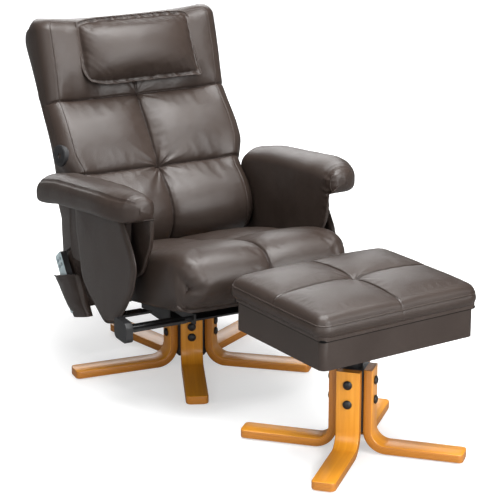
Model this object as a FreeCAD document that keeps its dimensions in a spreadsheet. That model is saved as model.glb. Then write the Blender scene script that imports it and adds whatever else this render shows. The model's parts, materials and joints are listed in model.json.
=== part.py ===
import FreeCAD, Part
import Sketcher

import math
import os

# Swivel massage recliner and its storage footstool, each on a bent-wood star base.
# Millimetres, +Z up. The sitter faces -Y. The chair's swivel axis is the working origin,
# and the finished set is moved so that its own origin is the middle of its footprint.

Vector = FreeCAD.Vector
Rotation = FreeCAD.Rotation
Placement = FreeCAD.Placement

AXIS_X = Vector(1, 0, 0)
AXIS_Y = Vector(0, 1, 0)
AXIS_Z = Vector(0, 0, 1)

# Driving sizes, one row of the sheet each.
SIZES = [
    # clearances shared by every piece
    ("seat_gap", 0.3),
    ("running_gap", 0.05),
    ("layer_gap", 0.9),
    ("overrun", 5),
    # chair base
    ("leg_reach", 350),
    ("leg_width", 62),
    ("leg_thickness", 22),
    ("leg_bend_radius", 38),
    ("leg_edge_round", 4),
    ("hub_apothem", 49),
    ("hub_low", 34),
    ("hub_top", 150),
    ("leg_start_angle", -113.4),
    ("bolt_radius", 5),
    ("bolt_head_radius", 10.5),
    ("bolt_head_height", 4),
    ("bolt_low", 97),
    ("bolt_high", 128),
    ("glide_radius", 13),
    ("glide_height", 4),
    ("glide_inset", 30),
    ("plate_thickness", 6),
    ("spindle_radius", 15),
    ("spindle_low", 60),
    # mechanism under the seat
    ("bush_radius", 42),
    ("bush_height", 6),
    ("deck_width", 250),
    ("deck_front", -118),
    ("deck_rear", 60),
    ("lever_arm_height", 30),
    ("deck_thickness", 6),
    ("cheek_thickness", 6),
    ("seat_pitch", 11),
    ("frame_width", 470),
    ("frame_front", -375),
    ("frame_rear", 60),
    ("frame_thickness", 34),
    ("rail_width", 45),
    ("web_drop", 4),
    ("web_width", 50),
    ("web_thickness", 3),
    ("motor_radius", 34),
    ("motor_height", 24),
    # seat cushion
    ("seat_width", 508),
    ("seat_front", -490),
    ("seat_nose_top", -405),
    ("seat_nose_low", -428),
    ("seat_rear", 92),
    ("seat_front_height", 460),
    ("seat_rear_height", 342),
    ("seat_base_height", 316),
    ("seat_crown", 10),
    ("seat_puff", 14),
    ("seat_side_round", 34),
    ("seat_seam_depth", 2),
    ("seat_cross_seam", -187),
    # arms
    ("arm_inner", 266),
    ("arm_width", 118),
    ("arm_front", -330),
    ("arm_rear", 202),
    ("arm_base_height", 511),
    ("arm_pitch", 6.5),
    ("arm_depth", 86),
    ("panel_thickness", 12),
    ("core_thickness", 16),
    ("shield_thickness", 14),
    ("strap_clearance", 6),
    # recline hinge
    ("hinge_y", 130),
    ("hinge_z", 250),
    ("hinge_pin_radius", 7),
    ("hinge_plate", 6),
    ("hinge_ear_radius", 24),
    ("hinge_inset", 170),
    # backrest
    ("back_width", 528),
    ("board_thickness", 14),
    ("back_height", 942),
    ("back_puff", 25),
    ("motor_lift", 4),
    ("back_edge_round", 36),
    ("back_seam_depth", 5),
    ("back_crown", 14),
    ("back_motor_radius", 32),
    ("back_motor_height", 20),
    ("control_width", 150),
    ("control_height", 58),
    ("control_depth", 38),
    ("pillow_width", 350),
    ("pillow_lift", 23.2),
    ("pillow_depth", 52),
    ("socket_radius", 19),
    ("socket_height", 5),
    ("socket_y", 283),
    ("socket_z", 575),
    ("jack_radius", 5),
    ("jack_depth", 3),
    # remote control and its pouch
    ("pouch_y", 158),
    ("pouch_z", 142),
    ("pouch_lean", 37),
    ("pouch_low_width", 84),
    ("pouch_high_width", 140),
    ("pouch_height", 136),
    ("pouch_depth", 34),
    ("pouch_wall", 3),
    ("remote_width", 48),
    ("remote_depth", 18),
    ("remote_length", 178),
    ("remote_round", 8),
    ("button_radius", 5),
    ("button_height", 4),
    ("button_well", 4),
    ("button_travel", 1.2),
    ("button_pitch", 18),
    ("button_top_inset", 18),
    # recline lever
    ("lever_reach", 316),
    ("lever_pivot_y", -262),
    ("lever_pivot_z", 230),
    ("lever_shaft_radius", 7),
    ("lever_bar_width", 44),
    ("lever_bar_thickness", 8),
    ("lever_bar_inset", 26),
    ("grip_length", 78),
    ("grip_height", 58),
    ("grip_thickness", 20),
    ("grip_round", 16),
    # footstool
    ("stool_x", 81.5),
    ("stool_y", -765.6),
    ("stool_yaw", 5.6),
    ("stool_leg_reach", 292),
    ("stool_leg_angle", 45),
    ("stool_hub_apothem", 34),
    ("stool_hub_top", 226),
    ("stool_hub_low", 60),
    ("stool_bolt_low", 140),
    ("stool_bolt_high", 192),
    ("post_radius", 24),
    ("post_plate_width", 170),
    ("post_plate_thickness", 5),
    ("box_length", 466),
    ("box_width", 376),
    ("box_low", 314),
    ("box_high", 388),
    ("box_wall", 16),
    ("box_corner", 18),
    ("lid_thickness", 12),
    ("lid_gap", 2),
    ("lid_overhang", 5),
    ("lid_top", 462),
    ("lid_seam_depth", 9),
    ("lid_crown", 9),
    ("lid_hinge_radius", 5),
    ("lid_pin_radius", 2.5),
    ("lid_hinge_length", 60),
    ("lid_hinge_spread", 220),
]

# Shares of the seat's half width, with the shares of its side rounding and of its puff there.
SEAT_STATION_SHARES = [
    (0, 0.12, 0.15), (0.04, 0, 0.35), (0.14, 0, 0.72), (0.28, 0, 0.93), (0.5, 0, 1), (0.7, 0, 0.95),
    (0.82, 0.06, 0.8), (0.9, 0.2, 0.6), (0.96, 0.45, 0.35), (1, 1, 0),
]

# Shares of the arm's length from front to rear, with the shares of its depth and width there.
ARM_STATION_SHARES = [
    (0, 0.56, 0.1, 0.62), (0.02, 0.76, 0.03, 0.48), (0.07, 0.92, 0, 0.32), (0.15, 0.98, 0, 0.12),
    (0.25, 1.0, 0, 0.02), (0.5, 1.0, 0, 0), (0.75, 0.97, 0, 0), (0.92, 0.92, 0.02, 0.03),
    (0.985, 0.82, 0.07, 0.1), (1, 0.62, 0.15, 0.18),
]
# corners of the arm's panels: share of the arm's length, share of its depth below it, corner radius
ARM_PANEL_SHARES = [
    (0.959, 0, 0.1), (0.022, 0, 0.1), (0.022, 0.91, 0.5), (0.085, 1.55, 0.5),
    (0.128, 2.13, 0.25), (0.508, 2.24, 0.3), (0.827, 2.1, 0.4), (0.968, 1.05, 0.4),
]
ARM_SHIELD_SHARES = [
    (0.808, 0, 0.1), (0.22, 0, 0.2), (0.087, 1.11, 0.7), (0.062, 1.5, 0.58), (0.103, 2.27, 0.93),
    (0.192, 2.92, 1.16), (0.31, 3.58, 0.7), (0.451, 3.73, 0.58), (0.622, 3.08, 0.7), (0.733, 2.55, 0.7),
    (0.803, 0.7, 0.46),
]
ARM_CORE_SHARES = [(0.6, 0, 0.1), (0.2, 0, 0.1), (0.24, 2.1, 0.1), (0.55, 2.2, 0.1)]

# Shares of the pillow's half width, with the shares of its depth and height there.
PILLOW_STATION_SHARES = [
    (-1, 0.3, 0.62), (-0.9, 0.66, 0.86), (-0.5, 0.98, 1), (0, 1, 0.97), (0.5, 0.98, 1),
    (0.9, 0.66, 0.86), (1, 0.3, 0.62),
]

# Shares of the footstool cushion's half length, with how far each section draws in.
LID_STATION_SHARES = [(-1, 2.6), (-0.93, 0.9), (-0.5, 0), (0, 1), (0.5, 0), (0.93, 0.9), (1, 2.6)]

# The backrest's section lines as shares of its height: front and rear points in Y and Z; then the
# share of the half width, of the full puff of a panel, and of the depth behind the board's middle.
BACK_STATION_SHARES = [
    (0.1433, 0.1752, 0.2495, 0.1433, 0.96, 0, 0.86),
    (0.1890, 0.2601, 0.3238, 0.2420, 1, 0, 0.86),
    (0.1677, 0.3185, 0.3355, 0.3238, 1, 0, 0.4),
    (0.1210, 0.3715, 0.3376, 0.3662, 1, 0.43, 0.34),
    (0.1051, 0.4299, 0.3386, 0.4119, 1, 0.66, 0.34),
    (0.1295, 0.4904, 0.3291, 0.4618, 1, 0.66, 0.34),
    (0.1996, 0.5626, 0.3227, 0.5074, 1, 0, 0.34),
    (0.2367, 0.6093, 0.3344, 0.5573, 1, 0.85, 0.34),
    (0.2739, 0.6561, 0.3546, 0.6104, 1, 1, 0.34),
    (0.3121, 0.7059, 0.3843, 0.6603, 1, 0.85, 0.34),
    (0.3503, 0.7548, 0.4204, 0.7134, 1, 0, 0.34),
    (0.3737, 0.8100, 0.4544, 0.7686, 1, 0.66, 0.34),
    (0.3928, 0.8652, 0.4883, 0.8238, 1, 0.9, 0.34),
    (0.4098, 0.9151, 0.5159, 0.8652, 1, 0.95, 0.34),
    (0.4246, 0.9639, 0.5393, 0.9023, 0.985, 0.75, 0.34),
    (0.4321, 0.9936, 0.5308, 0.9597, 0.86, -0.6, 0.34),
]
TAIL_STATION_COUNT = 2
STATION_STEPS = 3
ARM_BRACKET_SHARES = (0.34, 0.48)

doc = FreeCAD.newDocument("recliner")
sheet = doc.addObject("Spreadsheet::Sheet", "sizes")
for row, (alias, amount) in enumerate(SIZES, start=1):
    sheet.set("A%d" % row, alias)
    sheet.set("B%d" % row, str(amount))
    sheet.setAlias("B%d" % row, alias)
doc.recompute()

pieces = []


def size(alias):
    return float(sheet.get(alias))


def register(obj, label, placement=None):
    obj.Label = label
    if placement is not None:
        obj.Placement = placement
    pieces.append(obj)
    return obj


def line(start, end):
    return Part.LineSegment(Vector(*start), Vector(*end))


def arc(start, middle, end):
    return Part.Arc(Vector(*start), Vector(*middle), Vector(*end))


def flat(points):
    # A closed run of straight sketch lines through flat points.
    corners = [(x, y, 0) for x, y in points]
    return [line(a, b) for a, b in zip(corners, corners[1:] + corners[:1])]


def rounded(points, radii):
    # A closed outline whose corners are turned by arcs of the given radii.
    count = len(points)
    corners = [Vector(x, y, 0) for x, y in points]
    cuts = []
    for i in range(count):
        before = (corners[i - 1] - corners[i]).normalize()
        after = (corners[(i + 1) % count] - corners[i]).normalize()
        half = before.getAngle(after) / 2
        reach = radii[i] / math.tan(half)
        middle = corners[i] + (before + after).normalize() * (radii[i] / math.sin(half) - radii[i])
        cuts.append((corners[i] + before * reach, middle, corners[i] + after * reach))
    edges = []
    for i in range(count):
        edges.append(Part.Arc(*cuts[i]))
        edges.append(Part.LineSegment(cuts[i][2], cuts[(i + 1) % count][0]))
    return edges


def circle(x, y, radius):
    return Part.Circle(Vector(x, y, 0), AXIS_Z, radius)


def new_body(name):
    return doc.addObject("PartDesign::Body", name)


def new_sketch(body, role, geometry):
    sketch = body.newObject("Sketcher::SketchObject", body.Name + "_sketch")
    plane = [p for p in body.Origin.OriginFeatures if p.Role == role][0]
    sketch.AttachmentSupport = [(plane, "")]
    sketch.MapMode = "FlatFace"
    sketch.addGeometry(geometry, False)
    return sketch


def add_pad(body, role, geometry, length, symmetric=False, lift=None, flip=False):
    sketch = new_sketch(body, role, geometry)
    if lift:
        sketch.setExpression("AttachmentOffset.Base.z", lift)
    pad = body.newObject("PartDesign::Pad", body.Name + "_pad")
    pad.Profile = sketch
    pad.setExpression("Length", length)
    if symmetric:
        pad.SideType = "Symmetric"
    pad.Reversed = flip
    return pad


def add_pocket(body, role, geometry, length, lift=None, flip=False, symmetric=False):
    doc.recompute()
    before = body.Shape.Volume
    sketch = new_sketch(body, role, geometry)
    if lift:
        sketch.setExpression("AttachmentOffset.Base.z", lift)
    pocket = body.newObject("PartDesign::Pocket", body.Name + "_pocket")
    pocket.Profile = sketch
    pocket.setExpression("Length", length)
    if symmetric:
        pocket.SideType = "Symmetric"
    pocket.Reversed = flip
    doc.recompute()
    if not body.Shape.Volume < before:
        raise ValueError("pocket cut nothing in " + body.Name)
    return pocket


def solid_feature(label, shape, placement=None):
    feature = doc.addObject("Part::Feature", label)
    feature.Shape = shape
    return register(feature, label, placement)


def cylinder(radius, height, base, direction=AXIS_Z):
    return Part.makeCylinder(radius, height, base, direction)


def loft(sections, ruled=False):
    wires = [Part.Wire([edge.toShape() for edge in section]) for section in sections]
    shape = Part.makeLoft(wires, True, ruled)
    if shape.Volume < 0:
        shape.reverse()
    return shape


def turned(angle, base=Vector(0, 0, 0), axis=AXIS_Z):
    return Placement(base, Rotation(axis, angle))



# Star bases


def make_leg(label, reach, inner, top, placement):
    # One bent-wood leg: a foot along the floor, a round bend and an upright against the hub.
    thick = size("leg_thickness")
    bend = size("leg_bend_radius")
    low = size("glide_height")
    outer_bend = bend + thick
    corner = (inner + outer_bend, low + outer_bend)
    slant = math.sqrt(0.5)
    profile = [
        line((inner, corner[1], 0), (inner, top, 0)),
        line((inner, top, 0), (inner + thick, top, 0)),
        line((inner + thick, top, 0), (inner + thick, corner[1], 0)),
        arc((inner + thick, corner[1], 0), (corner[0] - bend * slant, corner[1] - bend * slant, 0),
            (corner[0], low + thick, 0)),
        line((corner[0], low + thick, 0), (reach, low + thick, 0)),
        line((reach, low + thick, 0), (reach, low, 0)),
        line((reach, low, 0), (corner[0], low, 0)),
        arc((corner[0], low, 0), (corner[0] - outer_bend * slant, corner[1] - outer_bend * slant, 0),
            (inner, corner[1], 0)),
    ]
    body = new_body(label)
    add_pad(body, "XZ_Plane", profile, "sizes.leg_width", symmetric=True)
    return body, placement


def finish_leg(body, label, bolts, placement):
    # Bolt holes through the upright, then the rounded long edges of the foot's free end.
    holes = [circle(0, bolt, size("bolt_radius") + size("running_gap")) for bolt in bolts]
    add_pocket(body, "YZ_Plane", holes, "sizes.leg_reach / 2", flip=True)
    doc.recompute()
    tip = max(v.Point.x for v in body.Shape.Vertexes)
    edges = []
    for i, edge in enumerate(body.Shape.Edges, start=1):
        points = [v.Point for v in edge.Vertexes]
        upright = len(points) == 2 and abs(points[0].y - points[1].y) < size("running_gap")
        if upright and all(abs(p.x - tip) < size("running_gap") for p in points):
            edges.append("Edge%d" % i)
    drilled = body.Tip
    fillet = body.newObject("PartDesign::Fillet", body.Name + "_round")
    fillet.Base = (drilled, edges)
    fillet.setExpression("Radius", "sizes.leg_edge_round")
    doc.recompute()
    return register(body, label, placement)


def star_outline(count, start, apothem):
    # Corners of a regular outline with one flat side towards each leg.
    corner_radius = apothem / math.cos(math.pi / count)
    turns = [math.radians(start + 360 / count * (i + 0.5)) for i in range(count)]
    return [(corner_radius * math.cos(turn), corner_radius * math.sin(turn)) for turn in turns]


def make_star(prefix, count, start, reach, apothem, top, low, bolts, center):
    inner = apothem + size("seat_gap")
    thick = size("leg_thickness")
    angles = [start + 360 / count * i for i in range(count)]
    for i, angle in enumerate(angles, start=1):
        label = "%s_leg_%d" % (prefix, i)
        body, place = make_leg(label, reach, inner, top, turned(angle, center))
        finish_leg(body, label, bolts, place)
    bolt_solids = []
    glide_solids = []
    for angle in angles:
        spin = turned(angle, center)
        for bolt in bolts:
            shank = cylinder(size("bolt_radius"), thick, Vector(inner, 0, bolt), AXIS_X)
            head = cylinder(size("bolt_head_radius"), size("bolt_head_height"),
                            Vector(inner + thick, 0, bolt), AXIS_X)
            solid = shank.fuse(head).removeSplitter()
            solid.Placement = spin
            bolt_solids.append(solid)
        glide = cylinder(size("glide_radius"), size("glide_height"),
                         Vector(reach - size("glide_inset"), 0, 0))
        glide.Placement = spin
        glide_solids.append(glide)
    solid_feature(prefix + "_leg_bolts", Part.makeCompound(bolt_solids))
    solid_feature(prefix + "_feet", Part.makeCompound(glide_solids))
    hub = new_body(prefix + "_hub")
    outline = star_outline(count, start, apothem)
    add_pad(hub, "XY_Plane", flat(outline), "%s" % (top - low), lift="%s" % low)
    bore = size("spindle_radius") + size("running_gap")
    add_pocket(hub, "XY_Plane", [circle(0, 0, bore)], "%s" % (top + size("overrun")), flip=True)
    doc.recompute()
    register(hub, prefix + "_hub", Placement(center, Rotation()))


def make_chair_base():
    bolts = (size("bolt_low"), size("bolt_high"))
    make_star("base", 5, size("leg_start_angle"), size("leg_reach"), size("hub_apothem"),
              size("hub_top"), size("hub_low"), bolts, Vector(0, 0, 0))
    outline = star_outline(5, size("leg_start_angle"), size("hub_apothem") + size("leg_thickness"))
    plate = new_body("base_top_plate")
    bore = size("spindle_radius") + size("running_gap")
    add_pad(plate, "XY_Plane", flat(outline) + [circle(0, 0, bore)], "sizes.plate_thickness",
            lift="sizes.hub_top + sizes.seat_gap")
    register(plate, "base_top_plate")
    spindle = doc.addObject("Part::Cylinder", "swivel_spindle")
    spindle.setExpression("Radius", "sizes.spindle_radius")
    spindle.setExpression("Height", "%s - sizes.spindle_low" % deck_top())
    spindle.setExpression("Placement.Base.z", "sizes.spindle_low")
    register(spindle, "swivel_spindle")


# Mechanism and seat frame


def deck_low():
    return (size("hub_top") + size("seat_gap") + size("plate_thickness") + size("seat_gap")
            + size("bush_height"))


def deck_top():
    return deck_low() + size("deck_thickness")


def seat_base(y):
    # Height of the sloping plane that the cushion lies on.
    slope = math.tan(math.radians(size("seat_pitch")))
    return size("seat_base_height") - slope * (y - size("seat_nose_low"))


def frame_plane(drop):
    # The seat frame's own frame: tilted with the seat, its upper face under the cushion.
    base = Vector(0, 0, seat_base(0) - drop)
    return Placement(base, Rotation(AXIS_X, -size("seat_pitch")))


def make_mechanism():
    bush = new_body("swivel_bush")
    bore = size("spindle_radius") + size("running_gap")
    rings = [circle(0, 0, size("bush_radius")), circle(0, 0, bore)]
    add_pad(bush, "XY_Plane", rings, "sizes.bush_height",
            lift="sizes.hub_top + sizes.plate_thickness + 2 * sizes.seat_gap")
    register(bush, "swivel_bush")

    deck = new_body("mechanism_deck")
    half = size("deck_width") / 2
    front = size("deck_front")
    rear = size("deck_rear")
    outline = rounded([(-half, front), (half, front), (half, rear), (-half, rear)],
                      [size("bush_height")] * 4)
    add_pad(deck, "XY_Plane", outline + [circle(0, 0, bore)], "sizes.deck_thickness",
            lift="%s" % deck_low())
    low = deck_low()
    drop = size("frame_thickness") / math.cos(math.radians(size("seat_pitch"))) + 2 * size("seat_gap")
    cheek = [(front, low), (rear, low), (rear, seat_base(rear) - drop), (front, seat_base(front) - drop)]
    # The cheek beside the lever reaches forward as a low arm that carries the lever's shaft.
    reach = size("lever_arm_height") / 2
    tip = size("lever_pivot_y") - reach
    arm = [(front, size("lever_pivot_z") + reach), (tip, size("lever_pivot_z") + reach),
           (tip, size("lever_pivot_z") - reach), (front, size("lever_pivot_z") - reach)]
    for side, outline in ((-1, cheek + arm), (1, cheek)):
        lift = "%d * (sizes.deck_width / 2 - sizes.cheek_thickness / 2)" % side
        add_pad(deck, "YZ_Plane", flat(outline), "sizes.cheek_thickness", symmetric=True, lift=lift)
    register(deck, "mechanism_deck")

    frame = new_body("seat_frame")
    cosine = math.cos(math.radians(size("seat_pitch")))
    wide = size("frame_width") / 2
    rail = size("rail_width")
    ends = (size("frame_front") / cosine, size("frame_rear") / cosine)
    outer = rounded([(-wide, ends[0]), (wide, ends[0]), (wide, ends[1]), (-wide, ends[1])],
                    [size("rail_width") / 3] * 4)
    inner = flat([(-wide + rail, ends[0] + rail), (wide - rail, ends[0] + rail),
                  (wide - rail, ends[1] - rail), (-wide + rail, ends[1] - rail)])
    add_pad(frame, "XY_Plane", outer + inner, "sizes.frame_thickness", flip=True)
    register(frame, "seat_frame", frame_plane(size("seat_gap")))

    webs = []
    motors = []
    span = ends[1] - ends[0] - 2 * rail
    count = 4
    for i in range(count):
        y = ends[0] + rail + span * (i + 0.5) / count
        web = Part.makeBox(2 * (wide - rail - size("seat_gap")), size("web_width"), size("web_thickness"))
        web_low = Vector(-wide + rail + size("seat_gap"), y - size("web_width") / 2, -size("web_thickness"))
        web.translate(web_low)
        webs.append(web)
    for side in (-1, 1):
        y = ends[0] + rail + span * 1.5 / count
        base = Vector(side * wide / 3, y, -size("web_thickness") - size("seat_gap"))
        motors.append(cylinder(size("motor_radius"), size("motor_height"), base, -AXIS_Z))
    solid_feature("seat_webbing", Part.makeCompound(webs), frame_plane(size("web_drop")))
    solid_feature("seat_motors", Part.makeCompound(motors), frame_plane(size("web_drop")))


def seat_section(x, inset, puff):
    # One lengthwise slice of the seat: base, rear end, two stuffed top panels and the front roll.
    rear = size("seat_rear") - inset
    front = size("seat_front") + inset
    nose_low = size("seat_nose_low") + inset
    nose_top = size("seat_nose_top")
    cross = size("seat_cross_seam")
    rise = (size("seat_front_height") - size("seat_rear_height")) / (size("seat_rear") - nose_top)
    low_front = seat_base(nose_low)
    low_rear = seat_base(rear)
    crown = size("seat_crown")

    def top_z(y):
        return size("seat_rear_height") - inset + rise * (size("seat_rear") - y)

    rear_mid = (rear + cross) / 2
    front_mid = (cross + nose_top) / 2
    shoulder = rear - crown
    valley = (x, cross, top_z(cross) - size("seat_seam_depth"))
    ridge = (x, nose_top, top_z(nose_top) + puff / 2)
    return [
        line((x, nose_low, low_front), (x, rear, low_rear)),
        line((x, rear, low_rear), (x, rear, top_z(rear) - crown)),
        arc((x, rear, top_z(rear) - crown), (x, rear - crown / 4, top_z(rear) - crown / 3),
            (x, shoulder, top_z(shoulder))),
        arc((x, shoulder, top_z(shoulder)), (x, rear_mid, top_z(rear_mid) + puff), valley),
        arc(valley, (x, front_mid, top_z(front_mid) + puff), ridge),
        arc(ridge, (x, front - puff / 2, (top_z(nose_top) + low_front) / 2), (x, nose_low, low_front)),
    ]


def make_seat_cushion():
    half = size("seat_width") / 2
    rows = [(-share, draw, puff) for share, draw, puff in reversed(SEAT_STATION_SHARES[1:])]
    sections = []
    for share, draw, puff in rows + SEAT_STATION_SHARES:
        inset = draw * size("seat_side_round")
        sections.append(seat_section(share * half, inset, puff * size("seat_puff")))
    solid_feature("seat_cushion", loft(sections, True))


# Arms


def arm_base(y):
    return size("arm_base_height") - math.tan(math.radians(size("arm_pitch"))) * y


def arm_section(side, length_share, depth_share, inner_share, outer_share):
    y = size("arm_front") + length_share * (size("arm_rear") - size("arm_front"))
    inner = size("arm_inner") + size("arm_width") * inner_share
    outer = size("arm_inner") + size("arm_width") * (1 - outer_share)
    wide = outer - inner
    low = arm_base(y)
    depth = size("arm_depth") * depth_share
    high = low + depth
    shoulder = low + depth * 0.72
    swell = wide * 0.06
    middle = (inner + outer) / 2
    brow = high - depth * 0.07

    def at(x, z):
        return (side * x, y, z)

    return [
        line(at(inner + swell, low), at(outer - swell, low)),
        arc(at(outer - swell, low), at(outer, low + depth * 0.3), at(outer - swell / 2, shoulder)),
        arc(at(outer - swell / 2, shoulder), at(outer - wide * 0.18, brow), at(middle, high)),
        arc(at(middle, high), at(inner + wide * 0.18, brow), at(inner + swell / 2, shoulder)),
        arc(at(inner + swell / 2, shoulder), at(inner, low + depth * 0.3), at(inner + swell, low)),
    ]


def core_bottom(core_points, y, gap):
    # A point just under the arm core's sloping lower edge.
    front = core_points[2]
    rear = core_points[3]
    share = (y - front[0]) / (rear[0] - front[0])
    return Vector(0, y, front[1] + share * (rear[1] - front[1]) - gap)


def make_arm(name, side):
    pad = [arm_section(side, *station) for station in ARM_STATION_SHARES]
    solid_feature("arm_pad_" + name, loft(pad))
    gap = size("seat_gap")
    reach = size("arm_rear") - size("arm_front")
    front = size("arm_front")

    depth = size("arm_depth")

    def outline(shares, over_strap=False):
        corners = []
        for length_share, drop_share, radius_share in shares:
            y = front + length_share * reach
            z = arm_base(y) - gap - drop_share * depth
            if over_strap:
                z = max(z, seat_base(y) + size("strap_clearance"))
            corners.append((y, z))
        return corners, [depth * share[2] for share in shares]

    panel = new_body("arm_inner_panel_" + name)
    add_pad(panel, "YZ_Plane", rounded(*outline(ARM_PANEL_SHARES, True)), "sizes.panel_thickness",
            lift="%d * (sizes.arm_inner + sizes.panel_thickness / 2)" % side, symmetric=True)
    register(panel, "arm_inner_panel_" + name)

    core_in = "sizes.arm_inner + sizes.panel_thickness + sizes.seat_gap"
    core_points, core_radii = outline(ARM_CORE_SHARES)
    core = new_body("arm_core_" + name)
    add_pad(core, "YZ_Plane", rounded(core_points, core_radii), "sizes.core_thickness",
            lift="%d * (%s + sizes.core_thickness / 2)" % (side, core_in), symmetric=True)
    register(core, "arm_core_" + name)

    shield_in = core_in + " + sizes.core_thickness + sizes.seat_gap"
    shield = new_body("arm_outer_panel_" + name)
    add_pad(shield, "YZ_Plane", rounded(*outline(ARM_SHIELD_SHARES)), "sizes.shield_thickness",
            lift="%d * (%s + sizes.shield_thickness / 2)" % (side, shield_in), symmetric=True)
    register(shield, "arm_outer_panel_" + name)

    # A cranked steel bracket carries the arm from the underside of the seat frame's side rail.
    thick = size("hinge_plate")
    tops = [core_bottom(core_points, front + share * reach, gap) for share in ARM_BRACKET_SHARES]
    cosine = math.cos(math.radians(size("seat_pitch")))
    place = frame_plane(gap + (size("frame_thickness") + gap) / cosine)
    feet = [place.multVec(Vector(0, top.y / cosine, 0)) for top in tops]
    down = place.Rotation.multVec(-AXIS_Z) * thick
    core_middle = size("arm_inner") + size("panel_thickness") + gap + size("core_thickness") / 2
    x = side * core_middle
    web = slab(x, thick, [tops[0], tops[1], feet[1], feet[0]])
    strap_in = size("frame_width") / 2 - size("rail_width")
    strap_wide = abs(x) + thick / 2 - strap_in
    strap = slab(side * (strap_in + strap_wide / 2), strap_wide,
                 [feet[0], feet[1], feet[1] + down, feet[0] + down])
    up = AXIS_Z * thick
    head = slab(x, size("core_thickness"), [tops[0], tops[1], tops[1] - up, tops[0] - up])
    solid_feature("arm_bracket_" + name, web.fuse([strap, head]).removeSplitter())


# Recline hinge


def tail_line():
    # Foot of the pivot on the board's sloping tail face, with the face's run and outward normal.
    ends = []
    for station in BACK_STATION_SHARES[:TAIL_STATION_COUNT]:
        at, depth, half, puff, board_start = back_frame_at(station)
        ends.append(Vector(*at(0, board_start + size("board_thickness"))))
    low, high = ends
    run = (high - low).normalize()
    pivot = Vector(0, size("hinge_y"), size("hinge_z"))
    foot = low + run * (pivot - low).dot(run)
    return foot, run, Vector(0, -run.z, run.y)


def slab(x, thick, points):
    # A flat plate across X, centred on x, through points in the side view.
    corners = [Vector(x - thick / 2, p.y, p.z) for p in points]
    return Part.Face(Part.makePolygon(corners + corners[:1])).extrude(AXIS_X * thick)


def seat_bracket(x, thick, pivot, ear):
    # Bolted to the rear end of the seat frame, cranked under the cushion up to the pivot.
    cosine = math.cos(math.radians(size("seat_pitch")))
    place = frame_plane(size("seat_gap"))
    rail_end = size("frame_rear") / cosine + size("seat_gap")
    low = place.multVec(Vector(0, rail_end, -size("frame_thickness")))
    mid = place.multVec(Vector(0, rail_end, -size("frame_thickness") / 2))
    slant = ear * math.sqrt(0.5)
    knee = Vector(0, size("seat_rear") + size("layer_gap"), mid.z)
    elbow = Vector(0, knee.y, low.z)
    plate = slab(x, thick, [low, mid, knee, pivot + Vector(0, -slant, slant), pivot - AXIS_Z * ear, elbow])
    flange_low = low + (mid - low).normalize() * size("seat_gap")
    outward = Vector(0, cosine, -math.sin(math.radians(size("seat_pitch")))) * thick
    flange = slab(x, 4 * thick, [flange_low, mid, mid + outward, flange_low + outward])
    disc = cylinder(ear, thick, Vector(x - thick / 2, pivot.y, pivot.z), AXIS_X)
    return plate.fuse([flange, disc]).removeSplitter()


def back_ear(x, thick, pivot, ear):
    # Bolted to the board's tail, with a round eye at the pivot.
    foot, run, out = tail_line()
    base = foot + out * size("layer_gap") / 2
    flange = slab(x, 4 * thick, [base - run * ear, base + run * ear,
                                 base + run * ear + out * thick, base - run * ear + out * thick])
    plate = slab(x, thick, [base - run * ear, base + run * ear, pivot + run * ear, pivot - run * ear])
    disc = cylinder(ear, thick, Vector(x - thick / 2, pivot.y, pivot.z), AXIS_X)
    return plate.fuse([flange, disc]).removeSplitter()


def make_hinge():
    pivot = Vector(0, size("hinge_y"), size("hinge_z"))
    ear = size("hinge_ear_radius")
    thick = size("hinge_plate")
    brackets = []
    ears = []
    pins = []
    for side in (-1, 1):
        x = side * size("hinge_inset")
        ear_x = x + side * (thick + size("seat_gap"))
        bore = cylinder(size("hinge_pin_radius") + size("running_gap"), size("frame_width"),
                        pivot - AXIS_X * size("frame_width") / 2, AXIS_X)
        brackets.append(seat_bracket(x, thick, pivot, ear).cut(bore))
        ears.append(back_ear(ear_x, thick, pivot, ear).cut(bore))
        start = min(x, ear_x) - thick
        pins.append(cylinder(size("hinge_pin_radius"), abs(ear_x - x) + 2 * thick,
                             pivot + AXIS_X * start, AXIS_X))
    solid_feature("hinge_brackets", Part.makeCompound(brackets))
    solid_feature("hinge_ears", Part.makeCompound(ears))
    solid_feature("hinge_pins", Part.makeCompound(pins))


# Backrest


def curve_between(before, start, end, after, share):
    # A smooth value between start and end that follows its neighbours' slopes.
    slope_in = (end - before) / 2
    slope_out = (after - start) / 2
    square = share * share
    cube = square * share
    return (start * (2 * cube - 3 * square + 1) + slope_in * (cube - 2 * square + share)
            + end * (3 * square - 2 * cube) + slope_out * (cube - square))


def stations_from(first, last):
    # The given stations with smooth steps between them; the tail's first stretch is straight.
    rows = []
    for i in range(first, last):
        start = BACK_STATION_SHARES[i]
        end = BACK_STATION_SHARES[i + 1]
        straight = i < TAIL_STATION_COUNT - 1
        before = BACK_STATION_SHARES[max(i - 1, 1)] if not straight else start
        after = BACK_STATION_SHARES[min(i + 2, len(BACK_STATION_SHARES) - 1)]
        for step in range(STATION_STEPS):
            share = step / STATION_STEPS
            if straight:
                rows.append(tuple(a + (b - a) * share for a, b in zip(start, end)))
            else:
                rows.append(tuple(curve_between(p, a, b, q, share)
                                  for p, a, b, q in zip(before, start, end, after)))
    rows.append(BACK_STATION_SHARES[last])
    return rows


def back_frame_at(station):
    front_y, front_z, rear_y, rear_z, width_share, puff, board_share = station
    front = Vector(0, front_y, front_z) * size("back_height")
    rear = Vector(0, rear_y, rear_z) * size("back_height")
    depth = (front - rear).Length
    half = size("back_width") / 2 * width_share
    board_start = depth * board_share - size("board_thickness") / 2
    ahead = (front - rear).normalize()

    def at(x, reach):
        return tuple(rear + ahead * reach + AXIS_X * x)

    return at, depth, half, puff, board_start


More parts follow.
